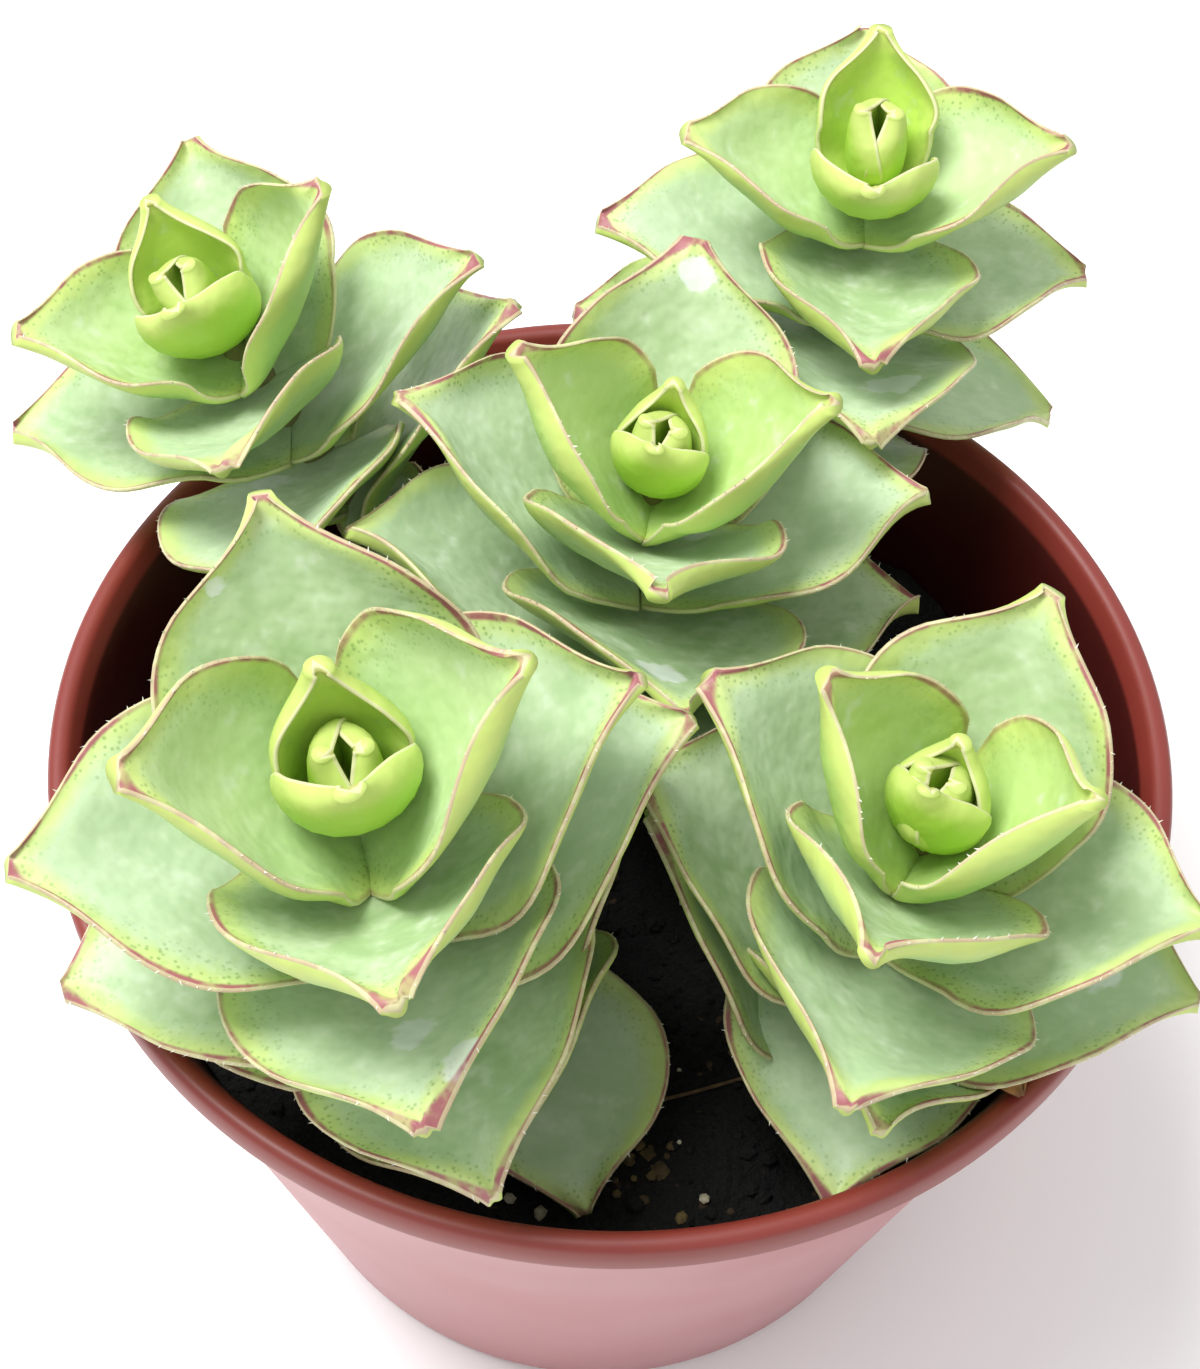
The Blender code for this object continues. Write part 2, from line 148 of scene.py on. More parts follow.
# Finished leaf
FINE_ALONG = 26
FINE_ACROSS = 16
FINE_TIP = 0.12
FINE_EDGE = 0.42
FINE_LENGTH = 1.035
LEAF_WAVE = 0.46
TIP_DROP = 2.2
POINT_POWER = 2.1
POINT_HOLLOW = 0.34
POINT_FROM = 0.55
MARGIN_ARC = ((0.12, 0.45), (0.4, 0.95), (0.75, 0.85))
MARGIN_BULGE = 0.45
UPPER_FACE = 0.0
MARGIN_FACE = 1.0
LOWER_FACE = 2.0

# Finished buds: the length of each stem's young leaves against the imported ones
BUD_SIZES = {
    "stem_front_left": 0.82,
    "stem_front_right": 0.88,
    "stem_middle": 0.78,
    "stem_back_left": 0.94,
    "stem_back_right": 1.04,
}
BUD_CHORD = 9.0
BUD_CUP = 44.0
BUD_CURL = 12.0
BUD_RISE = 84.0
BUD_THICK = 2.7

# Low leaves: centre, turn, length, rise and age
LOW_LEAVES = {
    "stem_front_left": ((-7.0, -20.5, 60.5), 17.0, 21.5, -6.0, 7.0),
    "stem_front_right": ((24.0, -17.5, 66.0), -9.0, 24.5, -2.0, 6.5),
}

# Dried water marks: x, y, z and radius
WATER_MARKS = (
    (-34.0, 25.0, 74.0, 3.2),
    (-14.0, -43.0, 92.0, 2.8),
    (-10.0, -47.0, 96.0, 2.8),
    (4.0, -5.0, 87.0, 3.6),
    (6.0, 31.0, 98.0, 2.8),
    (6.0, 11.0, 86.0, 3.0),
    (25.0, 28.0, 88.0, 3.6),
    (-30.0, -16.0, 110.0, 1.4),
    (42.0, -26.0, 74.0, 2.4),
)

# Margin teeth
TOOTH_SPACING = 0.44
TOOTH_LENGTH = 0.4
TOOTH_WIDTH = 0.2
TOOTH_START = 0.3

# Bare stem
STEM_RADIUS = 2.0
STEM_BURIED = 15.0
TUBE_RINGS = 44
TUBE_SIDES = 16
TUBE_BELOW = 0.15
TUBE_NARROWS_AT = 0.7

# Stems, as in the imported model
STEMS = {
    "stem_front_left": {
        "foot": (-4.0, -21.0),
        "head": (-19.5, -28.0, 102.0),
        "bow": (-8.5, 1.5),
        "pull": (0.0, 0.0),
        "turn": 16.0,
        "twist": 0.3,
        "size": 1.06,
        "age": 0.15,
        "lift": 9.0,
        "pairs": 9,
    },
    "stem_front_right": {
        "foot": (15.5, -17.0),
        "head": (25.5, -21.5, 90.5),
        "bow": (6.0, -1.5),
        "pull": (0.0, 0.0),
        "turn": -32.0,
        "twist": 3.1,
        "size": 1.01,
        "age": -0.26,
        "lift": 8.0,
        "pairs": 8,
    },
    "stem_middle": {
        "foot": (-6.0, 6.0),
        "head": (3.0, 13.5, 91.5),
        "bow": (4.0, 6.0),
        "pull": (0.0, 0.0),
        "turn": -13.0,
        "twist": 4.1,
        "size": 1.04,
        "age": -0.18,
        "lift": 3.0,
        "pairs": 8,
    },
    "stem_back_left": {
        "foot": (-22.5, 27.5),
        "head": (-39.5, 32.5, 89.0),
        "bow": (-2.5, 6.0),
        "pull": (5.0, -5.5),
        "turn": 15.0,
        "twist": -2.3,
        "size": 0.98,
        "age": 0.12,
        "lift": -1.0,
        "pairs": 8,
    },
    "stem_back_right": {
        "foot": (11.5, 34.5),
        "head": (22.5, 47.0, 98.0),
        "bow": (7.0, 10.0),
        "pull": (-4.0, -10.0),
        "turn": -5.0,
        "twist": 1.9,
        "size": 0.91,
        "age": 0.13,
        "lift": -15.0,
        "pairs": 9,
    },
}

# Camera in millimetres; its near limit, the lamp and the floor in metres
CAMERA_PLACE = (-1.3, -120.9, 243.8)
CAMERA_PITCH = 54.0
CAMERA_ROLL = -2.4
CAMERA_LENS = 60.5
CAMERA_SENSOR = 36.0
CAMERA_NEAR = 0.01
LAMP_PLACE = (-0.28, 0.05, 0.75)
LAMP_AIM = (0.0, 0.0, 0.07)
LAMP_POWER = 6.5
LAMP_SIZE = 0.35
WORLD_STRENGTH = 0.85
STAGE_SIZE = 6.0
STAGE_DROP = -0.0002


def linear(red, green, blue):
    """A screen colour, 0 to 255, as the linear colour that a shader takes."""
    shares = []
    for value in (red, green, blue):
        value /= 255.0
        shares.append(value / 12.92 if value <= 0.04045 else ((value + 0.055) / 1.055) ** 2.4)
    return tuple(shares)


# Colours that go with those in the settings
MOTTLED_LEAF = linear(160, 188, 136)
PALE_LEAF = linear(198, 218, 188)
YOUNG_LEAF_BASE = linear(132, 170, 34)
LEAF_STREAK = linear(160, 188, 96)
LEAF_BLOOM = linear(218, 230, 214)
WATER_RESIDUE = linear(222, 230, 224)
YOUNG_UNDERSIDE = linear(166, 204, 74)
UNDERSIDE_BAND = linear(188, 206, 112)
LEAF_EDGE = linear(208, 214, 160)
TOOTH_LIGHT = linear(240, 240, 228)
TOOTH_DARK = linear(226, 214, 204)
STEM_BROWN = linear(106, 96, 58)
STEM_GREEN = linear(128, 132, 80)
POT_BLOOM = linear(192, 148, 154)
# Painted shade towards the foot of the outer wall
FOOT_PAINTED_SHADE = linear(150, 92, 98)
# Painted shade deep inside the pot, mixed into the inner wall and floor below the lip
INNER_PAINTED_SHADE = linear(40, 8, 8)
LIP_LIGHT = linear(140, 60, 52)
SOIL_BLACK = linear(9, 9, 9)
SOIL_BROWN = linear(74, 58, 40)
GRAIN_COLOURS = (linear(214, 206, 182), linear(168, 158, 130))
BARK_COLOURS = (linear(112, 94, 56), linear(64, 50, 30))
FIBRE_COLOURS = (linear(120, 96, 64), linear(84, 66, 44))
SCRAP_COLOURS = (linear(138, 96, 48), linear(84, 52, 30))
FLOOR_COLOURS = ((0.93, 0.93, 0.93), (0.95, 0.95, 0.95))
WHITE = (1.0, 1.0, 1.0, 1.0)


def colour_property(name, description, default):
    return bpy.props.FloatVectorProperty(
        name=name, description=description, default=default, size=3, min=0.0, max=1.0, subtype="COLOR"
    )


def share_property(name, description, default):
    return bpy.props.FloatProperty(
        name=name, description=description, default=default, min=0.0, max=1.0
    )


def count_property(name, description, default):
    return bpy.props.IntProperty(name=name, description=description, default=default, min=0)


# Counts and colours that a user would change
class PlantLeafSettings(bpy.types.PropertyGroup):
    old_leaf: colour_property("Older leaf", "Grey-green of the spread leaves", linear(188, 208, 168))
    young_leaf: colour_property("Young leaf", "Yellow-green of the top leaves", linear(180, 212, 84))
    band: colour_property("Margin band", "Yellow-green band inside the margin", linear(198, 214, 118))
    margin: colour_property("Margin line", "Mauve line along the margin", linear(156, 84, 96))
    under: colour_property("Underside", "Paler green under the leaf", linear(160, 192, 130))
    freckle: colour_property("Freckles", "Dark green dots near the margin", linear(110, 146, 76))
    bump: share_property("Skin relief", "Strength of the fine skin relief", 0.45)


class PlantPotSettings(bpy.types.PropertyGroup):
    outside: colour_property("Outside", "Dusty pink of the outer wall", linear(172, 108, 110))
    lip: colour_property("Lip", "Red-brown of the lip", linear(124, 45, 38))
    # The inner wall's dark red is the pot's red plastic darkened by painted shade
    inside: colour_property("Inside", "Dark red of the inner wall", linear(66, 16, 14))
    dust: share_property("Bloom", "Amount of pale bloom on the outer wall", 0.5)


class PlantSoilSettings(bpy.types.PropertyGroup):
    crumbs: count_property("Crumbs", "Number of dark crumbs on the soil", 900)
    perlite: count_property("White grains", "Number of white mineral grains on the soil", 36)
    dark: colour_property("Soil", "Near black of the damp soil", linear(18, 16, 15))


# Node helpers
def node(tree, kind, **values):
    item = tree.nodes.new(kind)
    for key, value in values.items():
        setattr(item, key, value)
    return item


def feed(tree, socket, value):
    """Links a socket to another one, or sets it to a plain value."""
    if isinstance(value, bpy.types.NodeSocket):
        tree.links.new(value, socket)
    elif socket.type == "RGBA":
        socket.default_value = (*tuple(value)[:3], 1.0)
    else:
        socket.default_value = value


def mixed(tree, factor, first, second):
    """A colour mix."""
    item = node(tree, "ShaderNodeMix", data_type="RGBA")
    feed(tree, item.inputs[0], factor)
    feed(tree, item.inputs[6], first)
    feed(tree, item.inputs[7], second)
    return item.outputs[2]


def ramp(tree, value, low, high, start=0.0, end=1.0):
    """A smooth step from start to end between two limits of a value."""
    item = node(tree, "ShaderNodeMapRange", interpolation_type="SMOOTHSTEP")
    for index, number in enumerate((value, low, high, start, end)):
        feed(tree, item.inputs[index], number)
    return item.outputs[0]


def maths(tree, kind, first, *others):
    for other in others:
        item = node(tree, "ShaderNodeMath", operation=kind)
        feed(tree, item.inputs[0], first)
        feed(tree, item.inputs[1], other)
        first = item.outputs[0]
    return first


def plus(tree, *values):
    return maths(tree, "ADD", *values)


def minus(tree, *values):
    return maths(tree, "SUBTRACT", *values)


def times(tree, *values):
    return maths(tree, "MULTIPLY", *values)


def spread(tree, value, amount):
    """A noise value moved to lie round zero and scaled."""
    return times(tree, minus(tree, value, 0.5), amount)


def object_place(tree):
    return node(tree, "ShaderNodeTexCoord").outputs["Object"]


def noise(tree, scale, detail=3.0, rough=0.5, vector=None):
    item = node(tree, "ShaderNodeTexNoise")
    feed(tree, item.inputs["Vector"], vector or object_place(tree))
    feed(tree, item.inputs["Scale"], scale)
    feed(tree, item.inputs["Detail"], detail)
    feed(tree, item.inputs["Roughness"], rough)
    return item.outputs["Fac"]


def dots(tree, scale, size):
    """Small round spots scattered over the surface."""
    item = node(tree, "ShaderNodeTexVoronoi")
    feed(tree, item.inputs["Vector"], object_place(tree))
    feed(tree, item.inputs["Scale"], scale)
    return ramp(tree, item.outputs["Distance"], size, size * 0.3)


def attribute(tree, name):
    item = node(tree, "ShaderNodeAttribute", attribute_type="GEOMETRY")
    item.attribute_name = name
    return item.outputs["Fac"]


def bump(tree, shader, height, strength, distance):
    item = node(tree, "ShaderNodeBump")
    feed(tree, item.inputs["Strength"], strength)
    feed(tree, item.inputs["Distance"], distance)
    feed(tree, item.inputs["Height"], height)
    feed(tree, shader.inputs["Normal"], item.outputs["Normal"])


def new_material(name, roughness):
    material = bpy.data.materials.new(name)
    material.use_nodes = True
    shader = material.node_tree.nodes["Principled BSDF"]
    shader.inputs["Roughness"].default_value = roughness
    return material, material.node_tree, shader


# Materials
def leaf_ground(tree, settings, fine, broad, young):
    """The upper face without its margin: mottled when old and yellow-green when young."""
    mottle = plus(tree, times(tree, fine, 0.6), times(tree, broad, 0.4))
    old = mixed(tree, ramp(tree, mottle, 0.36, 0.62), MOTTLED_LEAF, settings.old_leaf)
    old = mixed(tree, times(tree, attribute(tree, "own"), 0.45), old, PALE_LEAF)
    top = mixed(tree, young, old, settings.young_leaf)
    deep = times(tree, ramp(tree, attribute(tree, "along"), 0.5, 0.05), times(tree, young, 0.55))
    return mixed(tree, deep, top, YOUNG_LEAF_BASE)


def leaf_flecks(tree, settings, top, fine, broad, young, reach):
    """The yellow-green band with its streaks and freckles, laid over the upper face."""
    top = mixed(tree, times(tree, ramp(tree, reach, 3.2, 0.4), 0.7), top, settings.band)
    streak = times(tree, ramp(tree, fine, 0.52, 0.64), ramp(tree, reach, 7.0, 2.0))
    top = mixed(tree, times(tree, streak, 0.35), top, LEAF_STREAK)
    near, patch = ramp(tree, reach, 5.5, 1.0), ramp(tree, broad, 0.36, 0.58)
    grown = ramp(tree, young, 0.75, 0.2)
    freckles = times(tree, dots(tree, 1800.0, 0.4), near, patch, grown, 0.6)
    return mixed(tree, freckles, top, settings.freckle)


def leaf_residue(tree, top, fine, rim):
    """Faint bloom and the dried water marks, laid over the upper face."""
    bloom = times(tree, ramp(tree, fine, 0.58, 0.75), ramp(tree, rim, 1.5, 4.0))
    top = mixed(tree, times(tree, bloom, 0.3), top, LEAF_BLOOM)
    splash = plus(tree, attribute(tree, "mark"), spread(tree, fine, 0.9))
    return mixed(tree, ramp(tree, splash, 0.3, 0.5, 0.0, 0.7), top, WATER_RESIDUE)


def margin_line(tree, fine, broad, young, rim):
    """1 on the line along the margin, which is thin, patchy and strongest near the tip."""
    wide = plus(tree, 0.14, spread(tree, broad, 1.2))
    line = ramp(tree, minus(tree, rim, wide), 0.36, -0.05)
    patchy = ramp(tree, fine, 0.36, 0.56, 0.5, 1.0)
    tipward = ramp(tree, attribute(tree, "along"), 0.1, 0.55, 0.4, 1.0)
    return times(tree, line, patchy, tipward, ramp(tree, young, 1.0, 0.3, 0.3, 0.95))


def leaf_material(settings):
    material, tree, shader = new_material("leaf_skin", 0.46)
    rim = attribute(tree, "rim_mm")
    young = attribute(tree, "young")
    side = attribute(tree, "side")
    broad = noise(tree, 90.0, 1.0, 0.55)
    fine = noise(tree, 420.0, 2.0, 0.6)
    reach = plus(tree, rim, spread(tree, fine, 2.2))
    line = margin_line(tree, fine, broad, young, rim)
    top = leaf_ground(tree, settings, fine, broad, young)
    top = leaf_flecks(tree, settings, top, fine, broad, young, reach)
    top = leaf_residue(tree, top, fine, rim)
    top = mixed(tree, line, top, settings.margin)
    below = mixed(tree, young, settings.under, YOUNG_UNDERSIDE)
    below = mixed(tree, ramp(tree, reach, 3.0, 0.4), below, UNDERSIDE_BAND)
    edge = mixed(tree, times(tree, line, 0.5), LEAF_EDGE, settings.margin)
    skin = mixed(tree, ramp(tree, side, 0.2, 0.6), top, edge)
    skin = mixed(tree, ramp(tree, side, 1.3, 1.7), skin, below)
    feed(tree, shader.inputs["Base Color"], skin)
    feed(tree, shader.inputs["Specular IOR Level"], 0.4)
    bump(tree, shader, noise(tree, 560.0, 1.0), settings.bump, 0.0004)
    return material


def tooth_material():
    material, tree, shader = new_material("margin_teeth", 0.4)
    tint = mixed(tree, noise(tree, 300.0), TOOTH_LIGHT, TOOTH_DARK)
    feed(tree, shader.inputs["Base Color"], tint)
    return material


def stem_material():
    material, tree, shader = new_material("stem_bark", 0.7)
    tint = mixed(tree, noise(tree, 300.0, 5.0), STEM_BROWN, STEM_GREEN)
    feed(tree, shader.inputs["Base Color"], tint)
    bump(tree, shader, noise(tree, 900.0, 4.0), 0.5, 0.0005)
    return material


def pot_material(settings):
    """Dusty outer wall with painted shade towards its foot, glossy lip and an inner wall darkened by
    painted shade, told apart by the zone attribute.
    """
    material, tree, shader = new_material("pot_red_plastic", 0.42)
    zone = attribute(tree, "zone")
    place = node(tree, "ShaderNodeSeparateXYZ")
    feed(tree, place.inputs[0], object_place(tree))
    height = place.outputs[2]
    cloud = ramp(tree, noise(tree, 28.0, 2.0, 0.6), 0.3, 0.75)
    outer = mixed(tree, times(tree, cloud, settings.dust), settings.outside, POT_BLOOM)
    # Painted shade: the outer wall darkens from 62 mm down towards its foot
    outer = mixed(tree, ramp(tree, height, 0.062, 0.01, 0.0, 0.35), outer, FOOT_PAINTED_SHADE)
    # Painted shade: the inner wall and floor darken more from 70 mm down to 50 mm and below, deeper
    # in the pot
    inner = mixed(tree, ramp(tree, height, 0.05, 0.07, 0.4, 0.0), settings.inside, INNER_PAINTED_SHADE)
    lip = ramp(tree, noise(tree, 60.0, 4.0), 0.4, 0.7, 0.0, 0.3)
    lip = mixed(tree, lip, settings.lip, LIP_LIGHT)
    tint = mixed(tree, ramp(tree, zone, 0.4, 0.6), outer, lip)
    tint = mixed(tree, ramp(tree, zone, 1.4, 1.6), tint, inner)
    feed(tree, shader.inputs["Base Color"], tint)
    bump(tree, shader, noise(tree, 700.0, 3.0), 0.06, 0.0002)
    return material


def soil_material(settings):
    material, tree, shader = new_material("potting_soil", 0.92)
    clods = ramp(tree, noise(tree, 260.0, 3.0, 0.65), 0.35, 0.7)
    flecks = ramp(tree, noise(tree, 520.0, 2.0), 0.66, 0.74)
    tint = mixed(tree, clods, settings.dark, SOIL_BLACK)
    tint = mixed(tree, flecks, tint, SOIL_BROWN)
    feed(tree, shader.inputs["Base Color"], tint)
    bump(tree, shader, noise(tree, 800.0, 2.0, 0.7), 0.9, 0.0012)
    return material


def grain_group():
    """The two-toned grain shared by the grains, the bark, the fibre and the withered leaf."""
    name = "two_toned_grain"
    if name in bpy.data.node_groups:
        return bpy.data.node_groups[name]
    group = bpy.data.node_groups.new(name, "ShaderNodeTree")
    sockets = (
        ("Place", "INPUT", "NodeSocketVector"),
        ("Scale", "INPUT", "NodeSocketFloat"),
        ("Light", "INPUT", "NodeSocketColor"),
        ("Dark", "INPUT", "NodeSocketColor"),
        ("Tint", "OUTPUT", "NodeSocketColor"),
        ("Height", "OUTPUT", "NodeSocketFloat"),
    )
    for title, way, kind in sockets:
        group.interface.new_socket(title, in_out=way, socket_type=kind)
    given = node(group, "NodeGroupInput").outputs
    result = node(group, "NodeGroupOutput").inputs
    share = ramp(group, noise(group, given["Scale"], 4.0, 0.5, given["Place"]), 0.3, 0.7)
    feed(group, result["Tint"], mixed(group, share, given["Light"], given["Dark"]))
    finer = times(group, given["Scale"], 2.5)
    feed(group, result["Height"], noise(group, finer, 4.0, 0.5, given["Place"]))
    return group


def grain_material(name, colours, scale):
    material, tree, shader = new_material(name, 0.85)
    grain = node(tree, "ShaderNodeGroup", node_tree=grain_group())
    feed(tree, grain.inputs["Place"], object_place(tree))
    feed(tree, grain.inputs["Scale"], scale)
    feed(tree, grain.inputs["Light"], colours[0])
    feed(tree, grain.inputs["Dark"], colours[1])
    feed(tree, shader.inputs["Base Color"], grain.outputs["Tint"])
    bump(tree, shader, grain.outputs["Height"], 0.5, 0.0005)
    return material


# Mesh helpers
def add_to_scene(obj):
    bpy.context.scene.collection.objects.link(obj)


def link_mesh(name, points, faces, material, smooth=True):
    mesh = bpy.data.meshes.new(name)
    mesh.from_pydata([tuple(float(v) * MM for v in p) for p in points], [], faces)
    mesh.materials.append(material)
    mesh.polygons.foreach_set("use_smooth", [smooth] * len(mesh.polygons))
    obj = bpy.data.objects.new(name, mesh)
    add_to_scene(obj)
    return obj


def add_values(mesh, name, values):
    layer = mesh.attributes.new(name, "FLOAT", "POINT")
    layer.data.foreach_set("value", np.asarray(values, dtype=np.float32))


def face_outwards(mesh):
    work = bmesh.new()
    work.from_mesh(mesh)
    bmesh.ops.recalc_face_normals(work, faces=work.faces)
    work.to_mesh(mesh)
    work.free()


def tube_faces(rings, size):
    """Faces of a tube of closed rings, with both of its ends capped."""
    faces = []
    for ring in range(rings - 1):
        low, high = ring * size, (ring + 1) * size
        for step in range(size):
            after = (step + 1) % size
            faces.append((low + step, low + after, high + after, high + step))
    faces.append(tuple(range(size))[::-1])
    faces.append(tuple(range((rings - 1) * size, rings * size)))
    return faces


def only_select(obj):
    bpy.ops.object.select_all(action="DESELECT")
    obj.select_set(True)
    bpy.context.view_layer.objects.active = obj


def apply_modifiers(obj):
    only_select(obj)
    for modifier in list(obj.modifiers):
        bpy.ops.object.modifier_apply(modifier=modifier.name)


# Pot
def outer_radius(height):
    top = LIP_RADIUS - LIP_OVERHANG
    return BASE_RADIUS + (top - BASE_RADIUS) * height / (POT_HEIGHT - LIP_HEIGHT)


def inner_radius(height):
    return outer_radius(height) - WALL


def pot_profile():
    """(radius, height) down the outer side, over the floor and up the inner side."""
    under_lip = POT_HEIGHT - LIP_HEIGHT
    return [
        (LIP_RADIUS - RIM_WIDTH + 0.5, POT_HEIGHT - 0.05),
        (LIP_RADIUS - 0.9, POT_HEIGHT),
        (LIP_RADIUS - 0.35, POT_HEIGHT - 0.12),
        (LIP_RADIUS - 0.05, POT_HEIGHT - 0.5),
        (LIP_RADIUS, under_lip + 0.9),
        (LIP_RADIUS - 0.1, under_lip + 0.4),
        (LIP_RADIUS - 0.5, under_lip + 0.15),
        (outer_radius(under_lip) + 0.3, under_lip + 0.05),
        (outer_radius(under_lip), under_lip - 0.3),
        (outer_radius(45.0), 45.0),
        (outer_radius(20.0), 20.0),
        (outer_radius(2.0), 2.0),
        (BASE_RADIUS + 0.1, 0.9),
        (BASE_RADIUS - 0.2, 0.3),
        (BASE_RADIUS - 0.8, 0.0),
        (0.0, 0.0),
        (0.0, FLOOR),
        (inner_radius(FLOOR) - 0.8, FLOOR),
        (inner_radius(FLOOR) - 0.1, FLOOR + 0.7),
        (inner_radius(20.0), 20.0),
        (inner_radius(50.0), 50.0),
        (inner_radius(under_lip), under_lip),
        (LIP_RADIUS - RIM_WIDTH, POT_HEIGHT - 0.5),
    ]


def pot_zone(x, y, z):
    """0 on the outer wall, 1 on the lip and 2 on the inner wall and floor."""
    reach = hypot(x, y)
    if z > POT_HEIGHT - LIP_HEIGHT - 0.2 and reach > LIP_RADIUS - RIM_WIDTH - 0.05:
        return 1.0
    return 0.0 if reach > inner_radius(z) + 0.4 or z < 0.5 else 2.0


def turned_pot():
    """The pot's profile turned round its axis."""
    profile = pot_profile()
    edges = [(i, (i + 1) % len(profile)) for i in range(len(profile))]
    on_axis = [i for i, (radius, _) in enumerate(profile) if radius == 0.0]
    edges.remove(tuple(on_axis))
    mesh = bpy.data.meshes.new("pot_body")
    mesh.from_pydata([(r * MM, 0.0, z * MM) for r, z in profile], edges, [])
    pot = bpy.data.objects.new("pot_body", mesh)
    add_to_scene(pot)
    screw = pot.modifiers.new("Turn", "SCREW")
    screw.steps = POT_SIDES
    screw.render_steps = POT_SIDES
    screw.use_merge_vertices = True
    screw.merge_threshold = 0.00005
    screw.use_smooth_shade = True
    apply_modifiers(pot)
    face_outwards(pot.data)
    return pot


def drill_drain(pot, angle):
    place = (DRAIN_CIRCLE * cos(angle) * MM, DRAIN_CIRCLE * sin(angle) * MM, MM)
    bpy.ops.object.select_all(action="DESELECT")
    bpy.ops.mesh.primitive_cylinder_add(
        vertices=32, radius=DRAIN_RADIUS * MM, depth=6 * MM, location=place
    )
    drill = bpy.context.object
    cut = pot.modifiers.new("Drain", "BOOLEAN")
    cut.operation = "DIFFERENCE"
    cut.solver = "MANIFOLD"
    cut.object = drill
    apply_modifiers(pot)
    bpy.data.objects.remove(drill, do_unlink=True)


def make_pot(settings):
    pot = turned_pot()
    for index in range(DRAIN_HOLES):
        drill_drain(pot, 2 * pi * (index + 0.5) / DRAIN_HOLES)
    pot.data.materials.clear()
    pot.data.materials.append(pot_material(settings))
    add_values(pot.data, "zone", [pot_zone(*(v.co / MM)) for v in pot.data.vertices])
    only_select(pot)
    bpy.ops.object.shade_smooth_by_angle(angle=radians(POT_SMOOTH_ANGLE))
    return pot


# Stem curve and leaf pairs
def unit(vector):
    return vector / np.linalg.norm(vector)


def stem_ends(stem):
    foot = np.array([*stem["foot"], SOIL_TOP])
    head = np.array(stem["head"])
    middle = (foot + head) / 2 + np.array([*stem["bow"], 0.0])
    return foot, middle, head


def stem_point(stem, share):
    foot, middle, head = stem_ends(stem)
    pull = np.array([*stem["pull"], 0.0]) * (1 - share**2)
    return (1 - share) ** 2 * foot + 2 * share * (1 - share) * middle + share**2 * head + pull


def stem_heading(stem, share):
    foot, middle, head = stem_ends(stem)
    return unit((1 - share) * (middle - foot) + share * (head - middle))


def pair_rows(stem):
    """(pair, chord, rise, depth below the top) of each leaf pair, buds first."""
    rows = []
    for pair, chord, rise, above in BUD_PAIRS:
        rows.append((pair, chord * stem["size"], rise, -above))
    depth = 0.0
    for pair in range(1, stem["pairs"] + 1):
        age = pair + stem["age"]
        depth += SPACING * (1 - exp(-age / SPACING_AGE)) * stem["size"]
        chord = CHORD * (1 - exp(-age / CHORD_AGE)) * stem["size"]
        rise = RISE * exp(-age / RISE_AGE) + stem["lift"]
        rows.append((pair, chord, rise, depth))
    return rows


def pair_place(stem, pair, depth):
    foot, _, head = stem_ends(stem)
    share = 1 - depth / np.linalg.norm(head - foot)
    axis = stem_heading(stem, min(share, 1.0))
    centre = head - axis * depth if share > 1.0 else stem_point(stem, share)
    turn = radians(stem["turn"] + (pair - 1) * (90.0 + stem["twist"]))
    out = np.array([sin(turn), -cos(turn), 0.0])
    return centre, axis, unit(out - axis * (out @ axis))


def half_width(along):
    """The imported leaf's outline, from 0 to 1 of its greatest half width."""
    if along < WIDEST_AT:
        return WAIST + (1 - WAIST) * sin(pi / 2 * along / WIDEST_AT)
    past = (along - WIDEST_AT) / (1 - WIDEST_AT)
    return 1 - past**OUTLINE_POWER


def pointed_half_width(along):
    """The finished leaf's outline, drawn out to a slightly hollow tip."""
    if along < WIDEST_AT:
        return half_width(along)
    past = (along - WIDEST_AT) / (1 - WIDEST_AT)
    ending = max(0.0, (past - POINT_FROM) / (1 - POINT_FROM))
    return (1 - past**POINT_POWER) * (1 - POINT_HOLLOW * ending**2 * (3 - 2 * ending))


def leaf_form(leaf, fine):
    """(curl, cup, rise, half of the greatest width, thickness) of a leaf."""
    _, _, _, chord, rise, age, _ = leaf
    curl = min(CURL_OLD + CURL_YOUNG * exp(-age / CURL_AGE), MOST_CURL)
    cup = min(CUP_OLD + CUP_YOUNG * exp(-age / CUP_AGE), MOST_CUP)
    widest = chord * (WIDTH_SHARE + WIDTH_YOUNG * exp(-age / WIDTH_AGE)) / 2
    thick = EDGE_THICK + (THICK - EDGE_THICK) * min(1.0, chord / FULL_THICK_CHORD)
    if fine and chord < BUD_CHORD:
        curl, cup, rise, thick = BUD_CURL, BUD_CUP, BUD_RISE, BUD_THICK
    return curl, cup, rise, widest, thick


def leaf_spine(chord, rise, curl):
    """Evenly spaced (out, up) points along a leaf's midline."""
    tangents = []
    for step in range(SPINE_STEPS + 1):
        angle = radians(rise + curl * (2 * step / SPINE_STEPS - 1))
        tangents.append(np.array([cos(angle), sin(angle)]))
    spine = [np.zeros(2)]
    for before, after in zip(tangents, tangents[1:]):
        spine.append(spine[-1] + (before + after) / 2)
    return np.array(spine) * chord / np.linalg.norm(spine[-1])


def leaf_sway(along, share, wave, seed):
    """(shift of the whole leaf, dip of its upper face) at one place on a wavy leaf."""
    sway = sin(7.0 * along + 2.6 * share + seed)
    sway += 0.6 * sin(13.0 * along - 5.0 * share + seed * 1.7)
    sway *= wave * (0.3 + share**2) * min(1.0, along * 3.0)
    sway -= wave * TIP_DROP * max(0.0, (along - 0.8) / 0.2) ** 2
    dip = wave * 0.8 * exp(-((share / 0.3) ** 2)) * sin(pi * along)
    return sway, dip


